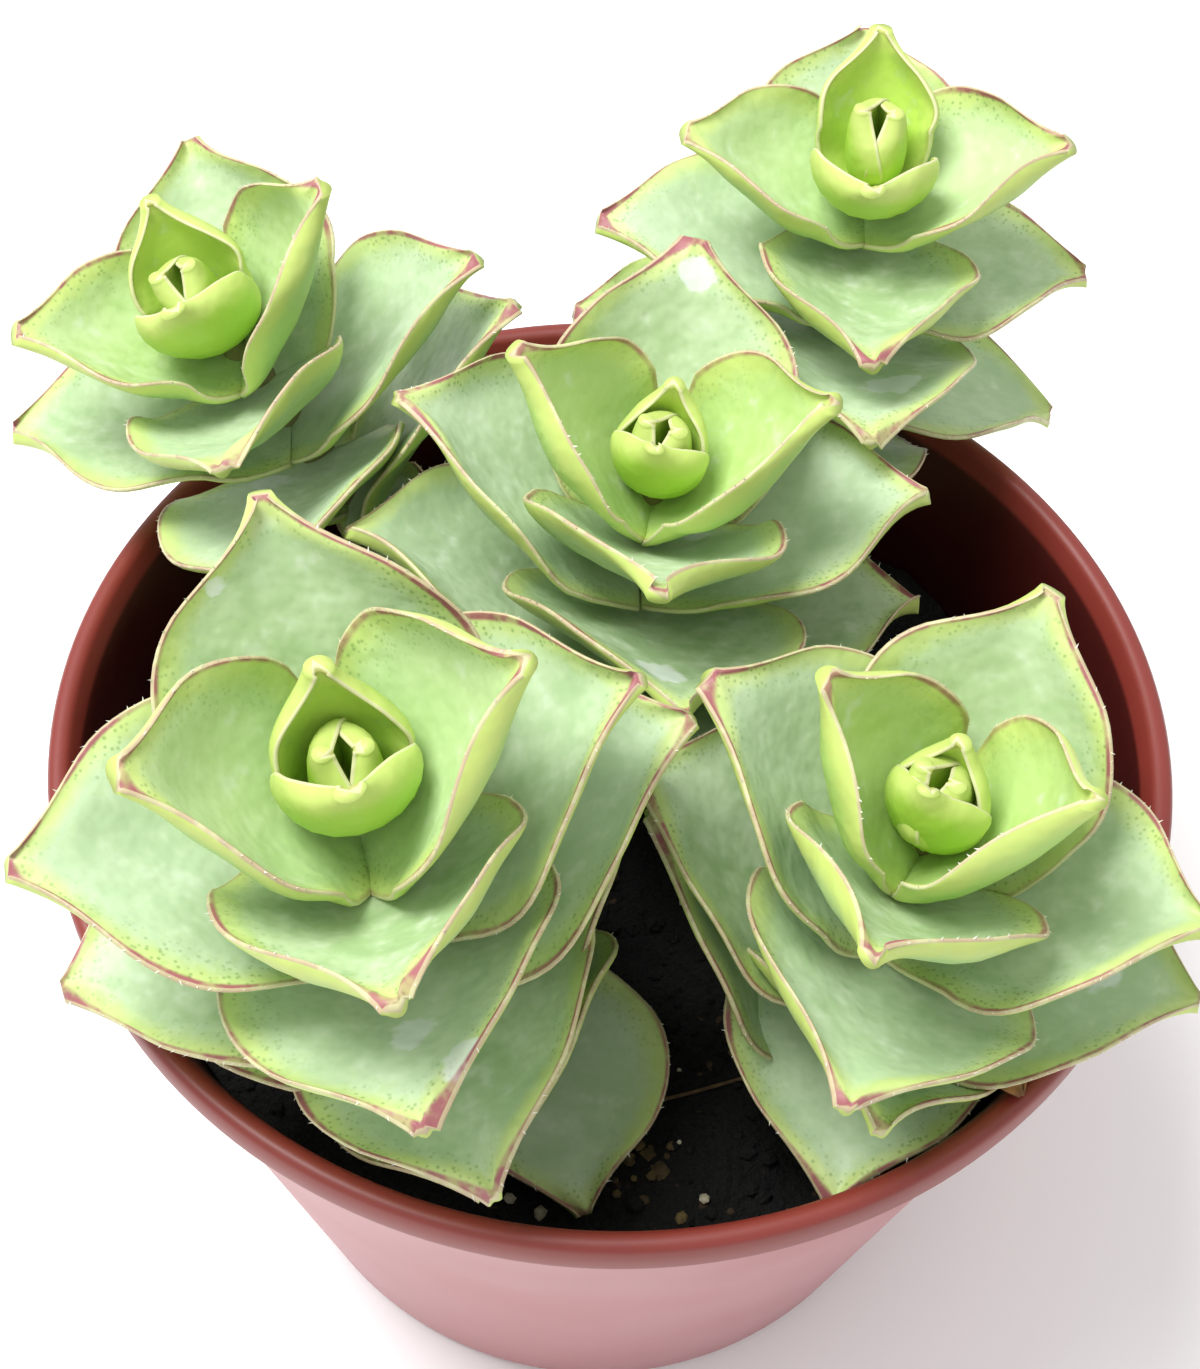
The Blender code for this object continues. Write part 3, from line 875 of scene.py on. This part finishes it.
def leaf_grid(leaf, places, across, fine=False, wave=0.0, seed=0.0):
    """Upper and lower points of each crosswise row of a leaf, and their distance to the margin."""
    centre, axis, out, chord, _, _, young = leaf
    curl, cup, rise, widest, thick = leaf_form(leaf, fine)
    edge, outline, tip = EDGE_THICK, half_width, CAD_TIP
    if fine:
        edge, outline, tip = FINE_EDGE, pointed_half_width, FINE_TIP
    side = np.cross(axis, out)
    spine = leaf_spine(chord, rise, curl)
    upper, lower, rims = [], [], []
    for along in places:
        x, z = (np.interp(along * SPINE_STEPS, range(SPINE_STEPS + 1), spine[:, i]) for i in (0, 1))
        angle = radians(rise + curl * (2 * along - 1))
        normal = -out * sin(angle) + axis * cos(angle)
        if along == 0.0:
            normal = axis
            x = YOUNG_BASE_SHIFT if young else 0.0
        arc = radians(cup) * (0.35 + 0.65 * min(1.0, along / 0.3))
        reach = max(widest * outline(along), tip)
        radius = reach / arc
        middle = centre + out * x + axis * z
        top, bottom, rim = [], [], []
        for share in across:
            swing = share * arc
            point = middle + side * radius * sin(swing) + normal * radius * (1 - cos(swing))
            facing = normal * cos(swing) - side * sin(swing)
            depth = edge + (thick - edge) * (1 - 0.5 * along) * (1 - share**2) ** 0.7
            sway, dip = leaf_sway(along, share, wave, seed)
            top.append(point + facing * (sway - dip))
            bottom.append(point + facing * (sway - depth))
            rim.append(min(reach * (1 - abs(share)), (1 - along) * chord * 1.3))
        upper.append(top)
        lower.append(bottom)
        rims.append(rim)
    return upper, lower, rims


# Leaves are bent clear of the pot, the soil and other stems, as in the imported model
def soil_height(x, y):
    wave = sin(0.21 * x + 0.5) * cos(0.17 * y) + 0.6 * sin(0.37 * x - 0.29 * y)
    return SOIL_TOP + SOIL_WAVE * wave


def clears_pot(points):
    for x, y, z in points:
        reach = hypot(x, y)
        if z < POT_HEIGHT + POT_CLEARANCE:
            if inner_radius(z) - POT_CLEARANCE < reach < LIP_RADIUS + POT_CLEARANCE:
                return False
        if z < soil_height(x, y) + SOIL_CLEARANCE:
            return False
    return True


def ring_faces(rows):
    """Triangles of a packed leaf's upper face, lower face and margin."""
    wide = len(CAD_ACROSS)
    under = rows * wide
    faces = []
    for row in range(rows - 1):
        for col in range(wide - 1):
            a = row * wide + col
            b, c, d = a + 1, a + wide + 1, a + wide
            if (row < (rows - 1) / 2) == (col < (wide - 1) / 2):
                halves = ((a, b, c), (a, c, d))
            else:
                halves = ((a, b, d), (b, c, d))
            for half in halves:
                faces.append(half)
                faces.append(tuple(under + v for v in half[::-1]))
    border = [(0, c) for c in range(wide)]
    border += [(r, wide - 1) for r in range(1, rows)]
    border += [(rows - 1, c) for c in range(wide - 2, -1, -1)]
    border += [(r, 0) for r in range(rows - 2, 0, -1)]
    loop = [r * wide + c for r, c in border]
    for here, after in zip(loop, loop[1:] + loop[:1]):
        faces.append((after, here, under + here))
        faces.append((after, under + here, under + after))
    return faces


def blade_points(rings):
    return [tuple(p) for row in rings[0] for p in row] + [tuple(p) for row in rings[1] for p in row]


def swollen(rings):
    """A leaf grown by the gap that other stems' leaves keep from it."""
    upper, lower = np.array(rings[0][1:]), np.array(rings[1][1:])
    across = upper - lower
    across *= LEAF_GAP / np.linalg.norm(across, axis=2, keepdims=True)
    spine = (upper + lower)[:, 2:3] / 2
    return [upper + across + (upper - spine) * 0.03, lower - across + (lower - spine) * 0.03]


def clears_others(rings, owner, placed):
    tree = BVHTree.FromPolygons(blade_points(swollen(rings)), ring_faces(len(rings[0]) - 1))
    return not any(other.overlap(tree) for name, other in placed if name != owner)


def settled_leaf(leaf, places, owner, placed):
    """The longest, least bent form of a leaf that clears everything, with its solid's rows."""
    centre, axis, way, chord, rise, age, young = leaf
    for length in BEND_LENGTHS:
        for lift in BEND_LIFTS:
            tried = (centre, axis, way, chord * length, rise + lift, age, young)
            rings = leaf_grid(tried, places, CAD_ACROSS)
            if not clears_pot(blade_points((rings[0][1:], rings[1][1:]))):
                continue
            if clears_others(rings, owner, placed):
                return tried, rings
    return tried, rings


def pot_shape():
    """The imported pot's faces, for the leaves to keep clear of."""
    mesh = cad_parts["pot"].data
    points = [tuple(v.co / MM) for v in mesh.vertices]
    return BVHTree.FromPolygons(points, [tuple(p.vertices) for p in mesh.polygons])


def settled_leaves():
    """Every stem's leaves as settled one after another from the top pairs down."""
    placed = [("pot", pot_shape())]
    leaves = {name: [] for name in STEMS}
    rows = [(row[0], name, row) for name, stem in STEMS.items() for row in pair_rows(stem)]
    rows.sort(key=lambda item: item[0])
    for pair, name, (_, chord, rise, depth) in rows:
        stem = STEMS[name]
        centre, axis, out = pair_place(stem, pair, depth)
        age = max(pair + stem["age"], 0.2)
        places = CAD_ALONG if pair in FULL_PAIRS else CAD_ALONG_FEW
        both = []
        for first in (True, False):
            way = out if first else -out
            yaw, lift, stretch = 0.0, 0.0, 1.0
            if not first:
                yaw, lift, stretch = radians(UNEVEN_YAW), -UNEVEN_RISE, UNEVEN_LENGTH
            way = way * cos(yaw) + np.cross(axis, way) * sin(yaw)
            leaf = (centre, axis, way, chord * stretch, rise + lift, age, pair < 2)
            settled, rings = settled_leaf(leaf, places, name, placed)
            leaves[name].append((pair, settled))
            both.append(rings)
        for rings in both:
            shape = BVHTree.FromPolygons(blade_points(rings), ring_faces(len(rings[0])))
            placed.append((name, shape))
    return leaves


# Leafy stems
def rounded_margin(top, bottom, inner):
    """Points round a leaf's margin, from its upper face to its lower face."""
    outward = unit(top - inner)
    down = bottom - top
    bulge = np.linalg.norm(down) * MARGIN_BULGE
    return [top + down * share + outward * bulge * out for share, out in MARGIN_ARC]


def leaf_loop(top, bottom, rim):
    """(point, distance to the margin, face) round one cross-section of a leaf."""
    loop = [(p, r, UPPER_FACE) for p, r in zip(top, rim)]
    loop += [(p, 0.0, MARGIN_FACE) for p in rounded_margin(top[-1], bottom[-1], top[-2])]
    loop += [(p, r, LOWER_FACE) for p, r in zip(bottom[::-1], rim[::-1])]
    loop += [(p, 0.0, MARGIN_FACE) for p in rounded_margin(top[0], bottom[0], top[1])[::-1]]
    return loop


def fine_places():
    """Places along a leaf, closer together towards its tip, and places across it."""
    rows = [i / FINE_ALONG for i in range(FINE_ALONG + 1)]
    along = [0.45 * share + 0.55 * sin(pi / 2 * share) for share in rows]
    cols = [2 * i / FINE_ACROSS - 1 for i in range(FINE_ACROSS + 1)]
    return along, [sin(pi / 2 * share) for share in cols]


def fine_leaf(name, leaf, pair, number):
    """Points, shading values, faces and margins of one finished leaf."""
    age = leaf[5]
    along, across = fine_places()
    wave = LEAF_WAVE * min(1.0, age / 2.5) * min(1.0, leaf[3] / 20.0)
    stretch = BUD_SIZES[name] if pair < 2 else FINE_LENGTH
    leaf = (*leaf[:3], leaf[3] * stretch, *leaf[4:])
    upper, lower, rims = leaf_grid(leaf, along, across, True, wave, number * 2.399)
    young = min(1.0, 1.1 * exp(-((max(age - 0.6, 0.0) / 1.35) ** 2)))
    own = random.Random(number).random()
    points, values = [], []
    for place, top, bottom, rim in zip(along, upper, lower, rims):
        for point, distance, face in leaf_loop(top, bottom, rim):
            points.append(point)
            values.append((distance, young, face, place, own))
    margins = []
    for end, inner in ((0, 1), (-1, -2)):
        line = [row[end] for row in upper]
        margins.append((line, [row[end] for row in lower], [row[inner] for row in upper]))
    return points, values, tube_faces(len(along), len(points) // len(along)), margins


def low_leaf(name):
    """A shaded leaf that hangs low over the soil in front of its stem."""
    centre, turn, chord, rise, age = LOW_LEAVES[name]
    turn = radians(turn)
    out = np.array([sin(turn), -cos(turn), 0.0])
    return np.array(centre), np.array([0.0, 0.0, 1.0]), out, chord, rise, age, False


def add_tooth(root, outward, along, thick, points, faces, chance):
    """One pale three-sided tooth that stands out of a leaf's margin."""
    reach = TOOTH_LENGTH * chance.uniform(0.6, 1.25) + 0.1
    wide = TOOTH_WIDTH / 2
    first = len(points)
    points.append(root + along * wide)
    points.append(root - along * wide)
    points.append(root + unit(thick) * wide * 1.6)
    points.append(root + outward * reach + along * chance.uniform(-0.12, 0.12))
    for a, b in ((0, 1), (1, 2), (2, 0)):
        faces.append((first + a, first + b, first + 3))


def add_teeth(margin, start, points, faces, chance):
    """Tiny teeth along one side of a leaf, from a distance past its base to its tip."""
    line, low, inner = (np.array(part) for part in margin)
    steps = np.linalg.norm(np.diff(line, axis=0), axis=1)
    length = np.concatenate([[0.0], np.cumsum(steps)])
    place = start
    while place < length[-1] - 0.2:
        row = int(np.searchsorted(length, place)) - 1
        share = (place - length[row]) / max(steps[row], 1e-6)
        root = line[row] + (line[row + 1] - line[row]) * share
        outward = unit(root - inner[row])
        thick = low[row] - line[row]
        along = unit(line[row + 1] - line[row])
        add_tooth(root + thick * 0.25, outward, along, thick, points, faces, chance)
        place += TOOTH_SPACING * chance.uniform(0.75, 1.3)


def tube_radius(ring, share):
    """The bare stem's radius, slightly uneven and narrower near the top."""
    uneven = 0.96 + 0.04 * sin(ring * 2.1)
    if share < TUBE_NARROWS_AT:
        return STEM_RADIUS * uneven
    return STEM_RADIUS * (1.0 - (share - TUBE_NARROWS_AT) * 1.4) * uneven


def stem_tube(stem):
    """Points and faces of a bare stem, from inside the soil to its top leaf pairs."""
    points = []
    foot = stem_point(stem, 0.0)
    for ring in range(TUBE_RINGS + 1):
        share = ring / TUBE_RINGS * (1 + TUBE_BELOW) - TUBE_BELOW
        if share < 0:
            centre = foot + np.array([0.0, 0.0, STEM_BURIED * share / TUBE_BELOW])
        else:
            centre = stem_point(stem, share)
        radius = tube_radius(ring, share)
        for step in range(TUBE_SIDES):
            angle = 2 * pi * step / TUBE_SIDES
            points.append(centre + radius * np.array([cos(angle), sin(angle), 0.0]))
    return points, tube_faces(TUBE_RINGS + 1, TUBE_SIDES)


def water_mark(point):
    """1 at the middle of a dried water mark, falling to 0 at its edge."""
    return max(0.0, *(1 - dist(point, mark[:3]) / mark[3] for mark in WATER_MARKS))


def make_leafy_stem(name, leaves, leaf_skin, teeth, bark):
    """One stem's leaves, its margin teeth and its bare stem."""
    points, values, faces = [], [], []
    tooth_points, tooth_faces = [], []
    chance = random.Random(name)
    if name in LOW_LEAVES:
        leaves = leaves + [(7, low_leaf(name))]
    for number, (pair, leaf) in enumerate(leaves, 31 * len(name)):
        if pair < 0:
            continue
        new_points, new_values, new_faces, margins = fine_leaf(name, leaf, pair, number)
        start = len(points)
        points += new_points
        values += new_values
        faces += [tuple(start + v for v in face) for face in new_faces]
        if pair >= 2:
            for margin in margins:
                add_teeth(margin, TOOTH_START * leaf[3], tooth_points, tooth_faces, chance)
    skin = link_mesh(name + "_leaves", points, faces, leaf_skin)
    for index, title in enumerate(("rim_mm", "young", "side", "along", "own")):
        add_values(skin.data, title, [row[index] for row in values])
    add_values(skin.data, "mark", [water_mark(point) for point in points])
    face_outwards(skin.data)
    spikes = link_mesh(name + "_teeth", tooth_points, tooth_faces, teeth, smooth=False)
    tube = link_mesh(name + "_stalk", *stem_tube(STEMS[name]), bark)
    for piece in (skin, spikes, tube):
        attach(piece, "root")
    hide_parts(name)


# Soil
def lump(points, faces, centre, size, flatness, chance):
    """Adds one uneven crumb made from a small ball."""
    work = bmesh.new()
    bmesh.ops.create_icosphere(work, subdivisions=1, radius=1.0)
    angle = chance.uniform(0, 6.28)
    axle = Vector((chance.random(), chance.random(), chance.random() + 0.1))
    turn = Matrix.Rotation(angle, 3, axle)
    x, y, z = centre
    start = len(points)
    for vert in work.verts:
        place = turn @ vert.co * chance.uniform(0.75, 1.2)
        points.append((x + place.x * size, y + place.y * size, z + place.z * size * flatness))
    for face in work.faces:
        faces.append(tuple(start + v.index for v in face.verts))
    work.free()


def rough_height(x, y):
    """The soil's top with its clods."""
    fine = 0.35 * sin(1.3 * x + 0.7 * y) * sin(0.9 * y - 0.4 * x + 1.0)
    fine += 0.25 * sin(2.3 * x - 1.9 * y + 2.0) * cos(1.7 * x + 2.6 * y)
    return soil_height(x, y) + fine


def on_soil(chance, least=2.0):
    """A random place on the soil, clear of the stems."""
    feet = [stem_point(stem, 0.0) for stem in STEMS.values()]
    while True:
        angle = chance.uniform(0, 2 * pi)
        reach = SOIL_SPREAD * sqrt(chance.random())
        x, y = reach * cos(angle), reach * sin(angle)
        if min(hypot(x - foot[0], y - foot[1]) for foot in feet) > STEM_RADIUS + least:
            return x, y


def dark_crumbs(count, chance):
    for _ in range(count):
        x, y = on_soil(chance, 1.2)
        yield x, y, 0.0, chance.uniform(0.25, 1.0)


def white_grains(count, chance):
    for _ in range(count):
        x, y = on_soil(chance)
        yield x, y, 0.2, chance.uniform(0.15, 0.45)
    for x, y, size in FRONT_GRAINS:
        yield x, y, 0.4, size


def bark_bits(chance):
    for _ in range(BARK_CLUMP):
        x = 4.4 + chance.gauss(0, 1.6)
        y = -35.5 + chance.gauss(0, 1.8)
        yield x, y, 0.3, chance.uniform(0.3, 0.8)
    for _ in range(BARK_LOOSE):
        x, y = on_soil(chance)
        yield x, y, 0.3, chance.uniform(0.3, 0.8)


def scattered(name, bits, flatness, chance, material):
    """One piece of many crumbs, each given as (x, y, height above the soil, size)."""
    points, faces = [], []
    for x, y, above, size in bits:
        lump(points, faces, (x, y, rough_height(x, y) + above), size, flatness, chance)
    return link_mesh(name, points, faces, material, smooth=False)


def soil_shape():
    """Points and faces of the soil, with a rough top and a flat base inside the pot."""
    edge = inner_radius(SOIL_TOP) - FIT_GAP
    low = FLOOR + FIT_GAP
    base = inner_radius(low) - FIT_GAP - 0.3
    turns = [2 * pi * step / SOIL_SIDES for step in range(SOIL_SIDES)]
    points, faces = [(0.0, 0.0, rough_height(0.0, 0.0))], []
    for ring in range(1, SOIL_RINGS + 1):
        for angle in turns:
            x = edge * ring / SOIL_RINGS * cos(angle)
            y = edge * ring / SOIL_RINGS * sin(angle)
            points.append((x, y, rough_height(x, y)))
    points += [(base * cos(angle), base * sin(angle), low) for angle in turns]
    for step in range(SOIL_SIDES):
        after = (step + 1) % SOIL_SIDES
        faces.append((0, 1 + step, 1 + after))
        for ring in range(SOIL_RINGS):
            inner = 1 + ring * SOIL_SIDES
            outer = inner + SOIL_SIDES
            faces.append((inner + step, outer + step, outer + after, inner + after))
    last = 1 + SOIL_RINGS * SOIL_SIDES
    faces.append(tuple(range(last, last + SOIL_SIDES))[::-1])
    return points, faces


def make_soil(settings):
    earth = soil_material(settings)
    pale = grain_material("white_grains", GRAIN_COLOURS, 500.0)
    brown = grain_material("bark_bits", BARK_COLOURS, 500.0)
    chance = random.Random(SOIL_SEED)
    soil = link_mesh("soil_bed", *soil_shape(), earth)
    bits = dark_crumbs(settings.crumbs, chance)
    crumbs = scattered("soil_crumbs", bits, CRUMB_FLATNESS, chance, earth)
    bits = white_grains(settings.perlite, chance)
    grains = scattered("soil_white_grains", bits, CRUMB_FLATNESS, chance, pale)
    bark = scattered("soil_bark_bits", bark_bits(chance), BARK_FLATNESS, chance, brown)
    for piece in (soil, crumbs, grains, bark):
        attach(piece, "root")
    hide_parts("soil")


def make_fibre():
    """A fine root fibre that lies on the soil near the front."""
    curve = bpy.data.curves.new("root_fibre", "CURVE")
    curve.dimensions = "3D"
    curve.bevel_depth = FIBRE_RADIUS * MM
    curve.bevel_resolution = 2
    spline = curve.splines.new("NURBS")
    spline.points.add(len(FIBRE_PATH) - 1)
    for point, (x, y) in zip(spline.points, FIBRE_PATH):
        point.co = (x * MM, y * MM, (rough_height(x, y) + 0.4) * MM, 1.0)
    spline.use_endpoint_u = True
    fibre = bpy.data.objects.new("root_fibre", curve)
    add_to_scene(fibre)
    curve.materials.append(grain_material("root_fibre_brown", FIBRE_COLOURS, 900.0))
    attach(fibre, "root")


def make_dry_leaf():
    """A withered leaf tip that lies over the rim beside the right stem."""
    points, faces = [], []
    start, end = np.array(SCRAP_START), np.array(SCRAP_END)
    side = unit(np.array(SCRAP_SIDE))
    up = np.array([0.0, 0.0, 1.0])
    for row in range(SCRAP_ROWS + 1):
        share = row / SCRAP_ROWS
        spine = start + (end - start) * share + up * 1.1 * sin(pi * share)
        wide = 1.3 * sin(pi * min(0.94, share * 0.8 + 0.15)) + 0.15
        for col in range(SCRAP_COLS + 1):
            place = 2 * col / SCRAP_COLS - 1
            fold = 0.35 * cos(3.0 * place + 2.0 * share)
            points.append(spine + side * wide * place + up * fold)
    for row in range(SCRAP_ROWS):
        for col in range(SCRAP_COLS):
            first = row * (SCRAP_COLS + 1) + col
            above = first + SCRAP_COLS + 1
            faces.append((first, first + 1, above + 1, above))
    brown = grain_material("withered_leaf", SCRAP_COLOURS, 700.0)
    scrap = link_mesh("withered_leaf_tip", points, faces, brown)
    thick = scrap.modifiers.new("Thickness", "SOLIDIFY")
    thick.thickness = SCRAP_THICK * MM
    apply_modifiers(scrap)
    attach(scrap, "root")


# Stage
def camera_axes():
    """The camera's right, up and backward directions."""
    pitch, roll = radians(CAMERA_PITCH), radians(CAMERA_ROLL)
    forward = Vector((0.0, cos(pitch), -sin(pitch)))
    right = Vector((1.0, 0.0, 0.0))
    down = forward.cross(right)
    level_right = right * cos(roll) + down * sin(roll)
    level_down = down * cos(roll) - right * sin(roll)
    return level_right, -level_down, -forward


def make_camera():
    data = bpy.data.cameras.new("camera")
    data.sensor_fit = "VERTICAL"
    data.sensor_height = CAMERA_SENSOR
    data.lens = CAMERA_LENS
    data.clip_start = CAMERA_NEAR
    camera = bpy.data.objects.new("camera", data)
    add_to_scene(camera)
    right, up, back = camera_axes()
    place = Matrix((right, up, back)).transposed().to_4x4()
    place.translation = Vector(CAMERA_PLACE) * MM
    camera.matrix_world = place
    bpy.context.scene.camera = camera


def make_lamp():
    data = bpy.data.lights.new("key_light", "AREA")
    data.energy = LAMP_POWER
    data.size = LAMP_SIZE
    lamp = bpy.data.objects.new("key_light", data)
    add_to_scene(lamp)
    lamp.location = LAMP_PLACE
    away = Vector(LAMP_PLACE) - Vector(LAMP_AIM)
    lamp.rotation_euler = away.to_track_quat("Z", "Y").to_euler()


def make_world():
    world = bpy.data.worlds.new("studio_white")
    bpy.context.scene.world = world
    world.use_nodes = True
    background = world.node_tree.nodes["Background"]
    background.inputs["Color"].default_value = WHITE
    background.inputs["Strength"].default_value = WORLD_STRENGTH


def make_floor():
    bpy.ops.object.select_all(action="DESELECT")
    bpy.ops.mesh.primitive_plane_add(size=STAGE_SIZE, location=(0.0, 0.0, STAGE_DROP))
    floor = bpy.context.object
    floor.name = "studio_floor"
    material, tree, shader = new_material("studio_floor_white", 0.9)
    tint = mixed(tree, noise(tree, 3.0, 0.0), *FLOOR_COLOURS)
    feed(tree, shader.inputs["Base Color"], tint)
    floor.data.materials.append(material)


def make_stage():
    bpy.context.scene.view_settings.view_transform = "Standard"
    make_camera()
    make_world()
    make_lamp()
    make_floor()


# Operators
class PLANT_OT_pot(bpy.types.Operator):
    """Build the round nursery pot"""

    bl_idname = "plant.make_pot"
    bl_label = "Make pot"

    def execute(self, context):
        pot = make_pot(context.scene.plant_pot)
        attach(pot, "root")
        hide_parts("pot")
        return {"FINISHED"}


class PLANT_OT_soil(bpy.types.Operator):
    """Build the soil with its crumbs, grains and fibre"""

    bl_idname = "plant.make_soil"
    bl_label = "Make soil"

    def execute(self, context):
        make_soil(context.scene.plant_soil)
        make_fibre()
        return {"FINISHED"}


class PLANT_OT_stems(bpy.types.Operator):
    """Build the five leafy stems"""

    bl_idname = "plant.make_stems"
    bl_label = "Make leafy stems"

    def execute(self, context):
        skin = leaf_material(context.scene.plant_leaf)
        teeth, bark = tooth_material(), stem_material()
        for name, leaves in settled_leaves().items():
            make_leafy_stem(name, leaves, skin, teeth, bark)
        return {"FINISHED"}


class PLANT_OT_dry_leaf(bpy.types.Operator):
    """Build the withered leaf tip on the rim"""

    bl_idname = "plant.make_dry_leaf"
    bl_label = "Make withered leaf"

    def execute(self, context):
        make_dry_leaf()
        return {"FINISHED"}


class PLANT_OT_stage(bpy.types.Operator):
    """Set the camera, the soft light and the pale floor"""

    bl_idname = "plant.make_stage"
    bl_label = "Make stage"

    def execute(self, context):
        make_stage()
        return {"FINISHED"}


class PLANT_PT_panel(bpy.types.Panel):
    """Lists the steps that build the plant"""

    bl_idname = "PLANT_PT_panel"
    bl_label = "String of buttons"
    bl_space_type = "VIEW_3D"
    bl_region_type = "UI"
    bl_category = "Plant"

    def draw(self, context):
        scene = context.scene
        for group in (scene.plant_pot, scene.plant_soil, scene.plant_leaf):
            for key in group.__annotations__:
                self.layout.prop(group, key)
        for step in STEPS:
            self.layout.operator(step.bl_idname)


STEPS = (PLANT_OT_pot, PLANT_OT_soil, PLANT_OT_stems, PLANT_OT_dry_leaf, PLANT_OT_stage)
GROUPS = (PlantLeafSettings, PlantPotSettings, PlantSoilSettings)


def register():
    for item in (*GROUPS, *STEPS, PLANT_PT_panel):
        bpy.utils.register_class(item)
    bpy.types.Scene.plant_leaf = bpy.props.PointerProperty(type=PlantLeafSettings)
    bpy.types.Scene.plant_pot = bpy.props.PointerProperty(type=PlantPotSettings)
    bpy.types.Scene.plant_soil = bpy.props.PointerProperty(type=PlantSoilSettings)


def unregister():
    del bpy.types.Scene.plant_leaf
    del bpy.types.Scene.plant_pot
    del bpy.types.Scene.plant_soil
    for item in reversed((*GROUPS, *STEPS, PLANT_PT_panel)):
        bpy.utils.unregister_class(item)


def main():
    register()
    bpy.ops.plant.make_pot()
    bpy.ops.plant.make_soil()
    bpy.ops.plant.make_stems()
    bpy.ops.plant.make_dry_leaf()
    bpy.ops.plant.make_stage()


if __name__ == "__main__":
    main()
